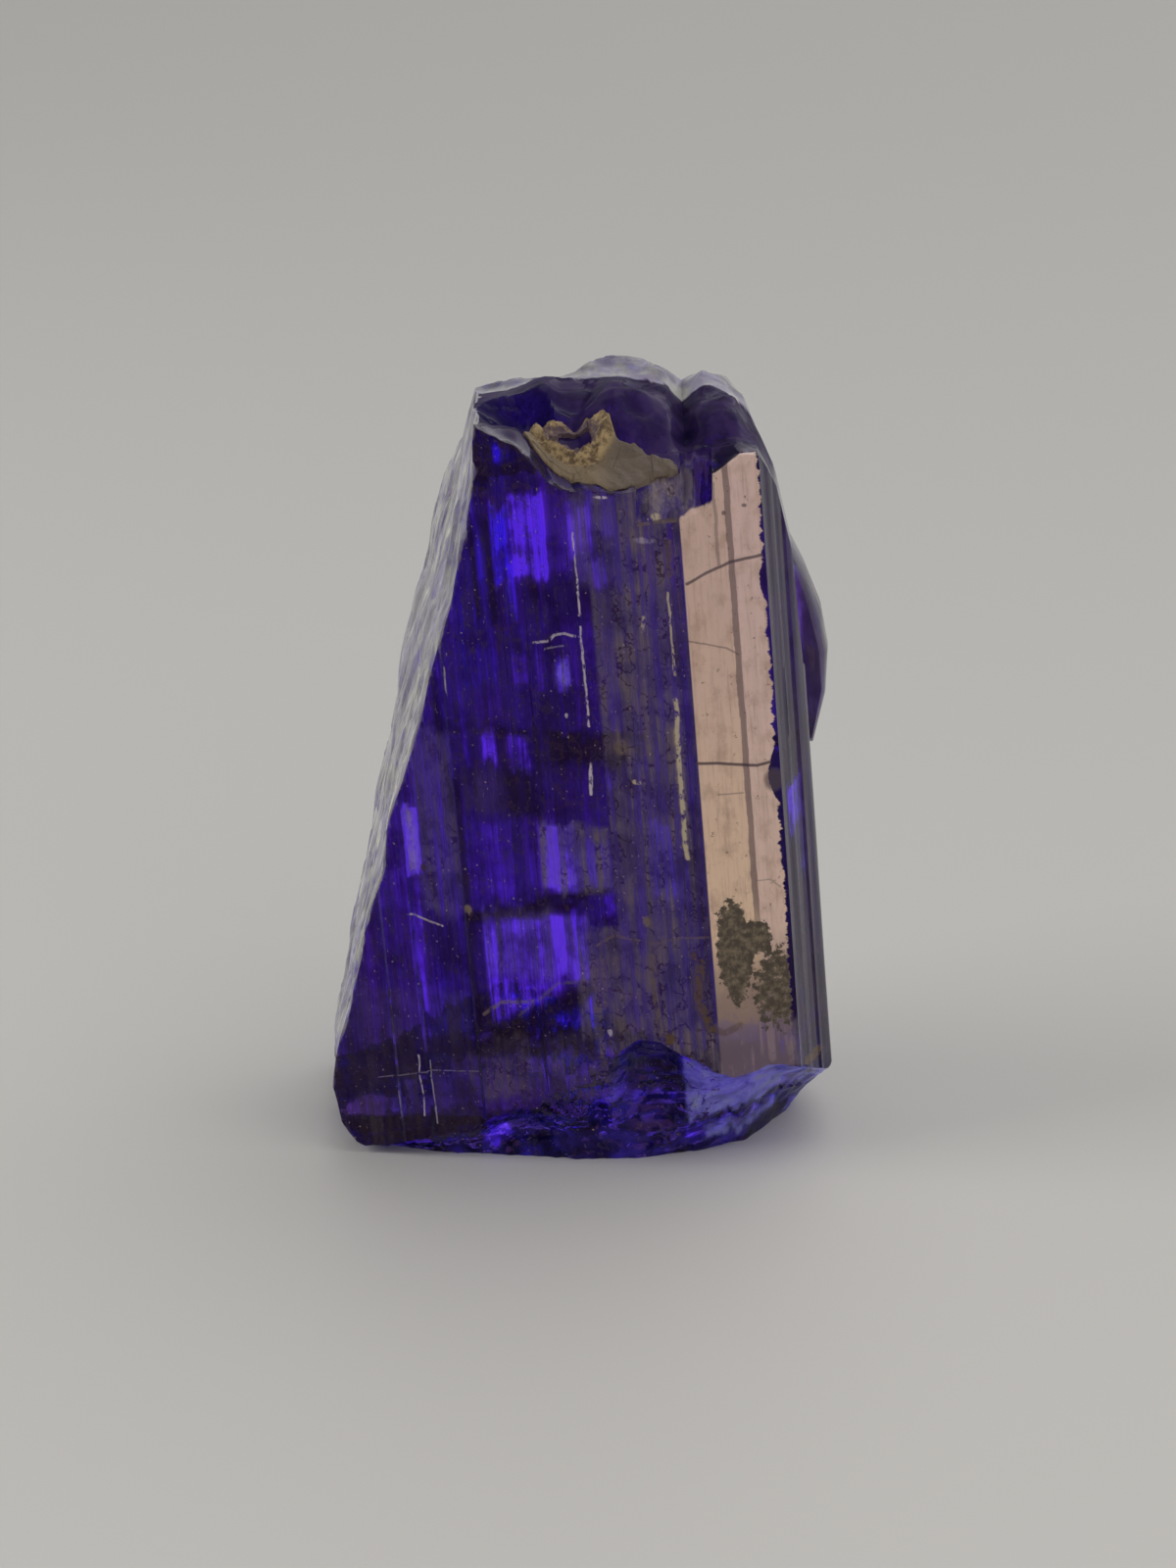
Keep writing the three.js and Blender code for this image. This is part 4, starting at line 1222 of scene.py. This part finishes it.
    # On the broken foot the film is the painted sheen.
    skin = finish.blend(skin, FOOT_SHEEN, broken_foot)
    skin = finish.blend(skin, HAIR_PALE, finish.ramp(hairs, 0.55, 0.75) * 0.35)
    skin = finish.blend(skin, SPECK_PALE, finish.ramp(specks, 0.65, 0.71))
    cover = dust | (finish.ramp(specks, 0.65, 0.71) * 0.7)
    skin, cover = finish.blend(skin, MARK_COLOURS["dark"], vein), cover | (vein * 0.45)
    skin, cover = add_marks(finish, on_front, VIOLET_LINES, VIOLET_SPOTS, skin, cover, broken)
    violet_side = finish.add("ShaderNodeMixShader", None, cover, gem(), film(skin, 0.4, 0.2, 0.0))

    crumbs = finish.noise(finish.vector(across * 2.6, 6.0, height * 2.6), 5, 0.72)
    pink = pink_face(finish, across, depth, height)
    skin = finish.blend(HAZE_GREY, FOOT_SHEEN, broken_foot)
    # On the pink face the film is the painted pink reflection.
    skin = finish.blend(skin, painted_pink_reflection(finish, across, height, crumbs), pink)
    cover = dust | (pink * finish.ramp(height, 5.5, 7.5, 0.6, 0.94))
    stain = pink_stain(finish, on_front, crumbs) * pink
    stain_colour = finish.blend(STAIN_TAN, STAIN_BROWN, finish.ramp(crumbs, 0.35, 0.6))
    skin = finish.blend(skin, stain_colour, stain)
    skin, cover = add_marks(finish, on_front, PINK_LINES, PINK_SPOTS, skin, cover | stain, broken)
    pink_side = finish.add("ShaderNodeMixShader", None, cover, gem(), film(skin, 0.35, 0.4, 0.0))

    marked = finish.add("ShaderNodeMixShader", None, pink_zone, violet_side, pink_side)
    surface = finish.add("ShaderNodeMixShader", None, front, plain, marked)
    inside = finish.add("ShaderNodeVolumeAbsorption", None, UNABSORBED, ABSORBED_PER_METRE)
    finish.add("ShaderNodeOutputMaterial", None, surface, inside)
    return finish.owner


crystal.data.materials.clear()
crystal.data.materials.append(tanzanite_finish())
print("tanzanite nodes:", len(crystal.data.materials[0].node_tree.nodes))

# %% [markdown]
# ## Ochre crust finish
# The crust is dull, crumbly host rock: pale ochre on the raised ring, plum-brown in the ring's hollow, and
# smoother olive-brown on the tongue. The distance from the ring's middle parts them, and a coarse noise
# wears the border between them. The same noises raise the grain as a bump, because grains of a tenth of a
# millimetre would cost too many faces.

# %% Crust finish
RING_HEIGHT = 32.8
RING_ACROSS = RING_AT[0] + LEAN * RING_HEIGHT
GRAIN_DEPTH = 0.00012


def crust_finish():
    finish = Finish(bpy.data.materials.new("ochre_crust"))
    across, depth, height = growth_place(finish)
    crumbs = finish.noise(finish.vector(across * 3, depth * 3, height * 3), 6, 0.66)
    grain = finish.noise(finish.vector(across * 13, depth * 13, height * 13), 3, 0.6)
    aside = (across - RING_ACROSS) / RING_WIDE[0]
    behind = (depth - RING_AT[1]) / RING_WIDE[1]
    middle = finish.move("LENGTH", finish.vector(aside, behind, 0.0))
    worn = middle + (crumbs - 0.5) * 0.7
    ring = finish.ramp(worn, 1.1, 1.3, 1, 0)
    ochre = finish.blend(srgb(92, 72, 50), srgb(176, 152, 110), finish.ramp(crumbs, 0.38, 0.64))
    tongue = finish.blend(srgb(122, 104, 78), srgb(94, 80, 68), finish.ramp(across, 2.4, 4.2))
    tongue = finish.blend(tongue, srgb(78, 68, 60), finish.ramp(crumbs, 0.5, 0.72, 0, 0.7))
    colour = finish.blend(tongue, ochre, ring)
    hollow = finish.ramp(worn + (grain - 0.5) * 0.6, 0.55, 0.8, 0.8, 0)
    colour = finish.blend(colour, srgb(80, 60, 82), hollow)
    colour = finish.blend(colour, srgb(58, 44, 40), finish.ramp(grain, 0.58, 0.72) * 0.6)
    rough = crumbs * 0.7 + grain * 0.3
    relief = finish.add("ShaderNodeBump", None, Strength=0.5, Distance=GRAIN_DEPTH, Height=rough)
    dull = 0.72 - (1 - ring) * 0.25
    body = finish.add("ShaderNodeBsdfPrincipled", None, Base_Color=colour, Roughness=dull, Normal=relief)
    finish.add("ShaderNodeOutputMaterial", None, body)
    return finish.owner


crust.data.materials.clear()
crust.data.materials.append(crust_finish())
print("crust nodes:", len(crust.data.materials[0].node_tree.nodes))

# %% [markdown]
# ## Floor
# A plain pale floor carries the crystal, wide enough that its edge is never seen. It throws soft light up
# into the foot, as the sheet under a stone that is being photographed does.

# %% Floor
FLOOR_HALF = 2000
FLOOR_COLOUR, FLOOR_ROUGHNESS = (0.6, 0.59, 0.57), 0.6


def plain_finish(name, colour, roughness):
    finish = Finish(bpy.data.materials.new(name))
    body = finish.add("ShaderNodeBsdfPrincipled", None, Base_Color=colour, Roughness=roughness)
    finish.add("ShaderNodeOutputMaterial", None, body)
    return finish.owner


floor_corners = [(x * FLOOR_HALF, y * FLOOR_HALF, 0) for x, y in ((-1, -1), (1, -1), (1, 1), (-1, 1))]
floor = mesh_object("floor", floor_corners, [[0, 1, 2, 3]])
floor.data.materials.append(plain_finish("pale_floor", FLOOR_COLOUR, FLOOR_ROUGHNESS))
print("floor width, mm:", 2 * FLOOR_HALF)

# %% [markdown]
# ## Lights
# A glossy stone mirrors its lamps, and a small lamp leaves a hard white spot on it. So the lights are
# large: a window at the left, a warm fill at the front right, and a very wide sun for the light of the
# whole studio. Each lamp is placed by its direction and distance from the middle of the crystal, and turned
# towards it.

# %% Soft lights
AIM_HEIGHT = 15.63
AIM = Vector((-MEASURED_MIDDLE[0], -MEASURED_MIDDLE[1], AIM_HEIGHT)) * MM
SOFT_LIGHTS = [
    ("window", -80, 30, 320, 180, 0.36, (1, 0.99, 0.96)),
    ("front fill", 35, 8, 300, 300, 0.38, (1, 0.94, 0.88)),
]
SUN_STRENGTH, SUN_WIDTH, SUN_COLOUR = 1.5, math.radians(90), (1, 0.99, 0.975)
SUN_TURN = (math.radians(38), 0, math.radians(125))


def hang(name, data):
    """An object for a lamp or a camera, in the scene."""
    thing = bpy.data.objects.new(name, data)
    bpy.context.scene.collection.objects.link(thing)
    return thing


def look_at_stone(thing, azimuth, elevation, distance):
    """Puts a thing at a distance in that direction, turned towards the middle of the crystal."""
    level = math.cos(elevation)
    back = Vector((math.sin(azimuth) * level, -math.cos(azimuth) * level, math.sin(elevation)))
    thing.location = AIM + back * distance * MM
    thing.rotation_euler = (-back).to_track_quat("-Z", "Y").to_euler()


for name, azimuth, elevation, distance, side, watts, colour in SOFT_LIGHTS:
    lamp = bpy.data.lights.new(name, "AREA")
    lamp.shape = "RECTANGLE"
    lamp.size = lamp.size_y = side * MM
    lamp.energy = watts
    lamp.color = colour
    look_at_stone(hang(name, lamp), math.radians(azimuth), math.radians(elevation), distance)
sun = bpy.data.lights.new("broad studio light", "SUN")
sun.energy = SUN_STRENGTH
sun.angle = SUN_WIDTH
sun.color = SUN_COLOUR
hang("broad studio light", sun).rotation_euler = SUN_TURN
print("lights:", [lamp.name for lamp in bpy.data.lights])

# %% [markdown]
# ## Grey room
# What the stone mirrors and bends towards the eye is mostly the room. A room that is pale low down behind
# the stone and dim elsewhere lights it from behind, and leaves the front faces dark enough to show their
# violet. A picture of a real room would do this too, but would bring its own windows into the faces.

# %% Room
def grey_room():
    """A room that is pale behind the stone and dim in front of it."""
    room = Finish(bpy.data.worlds.new("grey room"))
    way = room.add("ShaderNodeTexCoord").part("Generated")
    split = room.add("ShaderNodeSeparateXYZ", None, way)
    wall = room.ramp(split.part("Y"), -0.3, 0.5) * room.ramp(split.part("Z"), 0.4, 0.65, 1, 0)
    above = room.blend((0.09, 0.09, 0.09), (0.2, 0.2, 0.2), room.ramp(split.part("Z"), 0.4, 0.9))
    colour = room.blend(above, (0.45, 0.45, 0.44), wall)
    light = room.add("ShaderNodeBackground", None, colour, 1.0)
    room.add("ShaderNodeOutputWorld", None, light)
    return room.owner


bpy.context.scene.world = grey_room()
print("room nodes:", len(bpy.context.scene.world.node_tree.nodes))

# %% [markdown]
# ## Camera
# A long lens a little above the stone shows it nearly without perspective, as pictures of stones are mostly
# taken. Its distance follows from the lens and the height of the crystal.

# %% Camera
CAMERA_ELEVATION, CAMERA_DISTANCE = math.radians(18), 165.8
FOCAL_LENGTH, SENSOR = 85, 36
NEAREST, FARTHEST = 0.005, 20
lens = bpy.data.cameras.new("camera")
lens.lens = FOCAL_LENGTH
lens.sensor_width = SENSOR
lens.clip_start = NEAREST
lens.clip_end = FARTHEST
camera = hang("camera", lens)
look_at_stone(camera, 0, CAMERA_ELEVATION, CAMERA_DISTANCE)
bpy.context.scene.camera = camera
bpy.context.scene.view_settings.view_transform = "Standard"
print("camera distance, mm:", CAMERA_DISTANCE)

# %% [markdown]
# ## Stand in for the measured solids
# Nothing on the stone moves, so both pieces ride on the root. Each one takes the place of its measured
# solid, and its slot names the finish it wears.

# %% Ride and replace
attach(crystal, "root")
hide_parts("crystal")
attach(crust, "root")
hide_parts("matrix_crust")
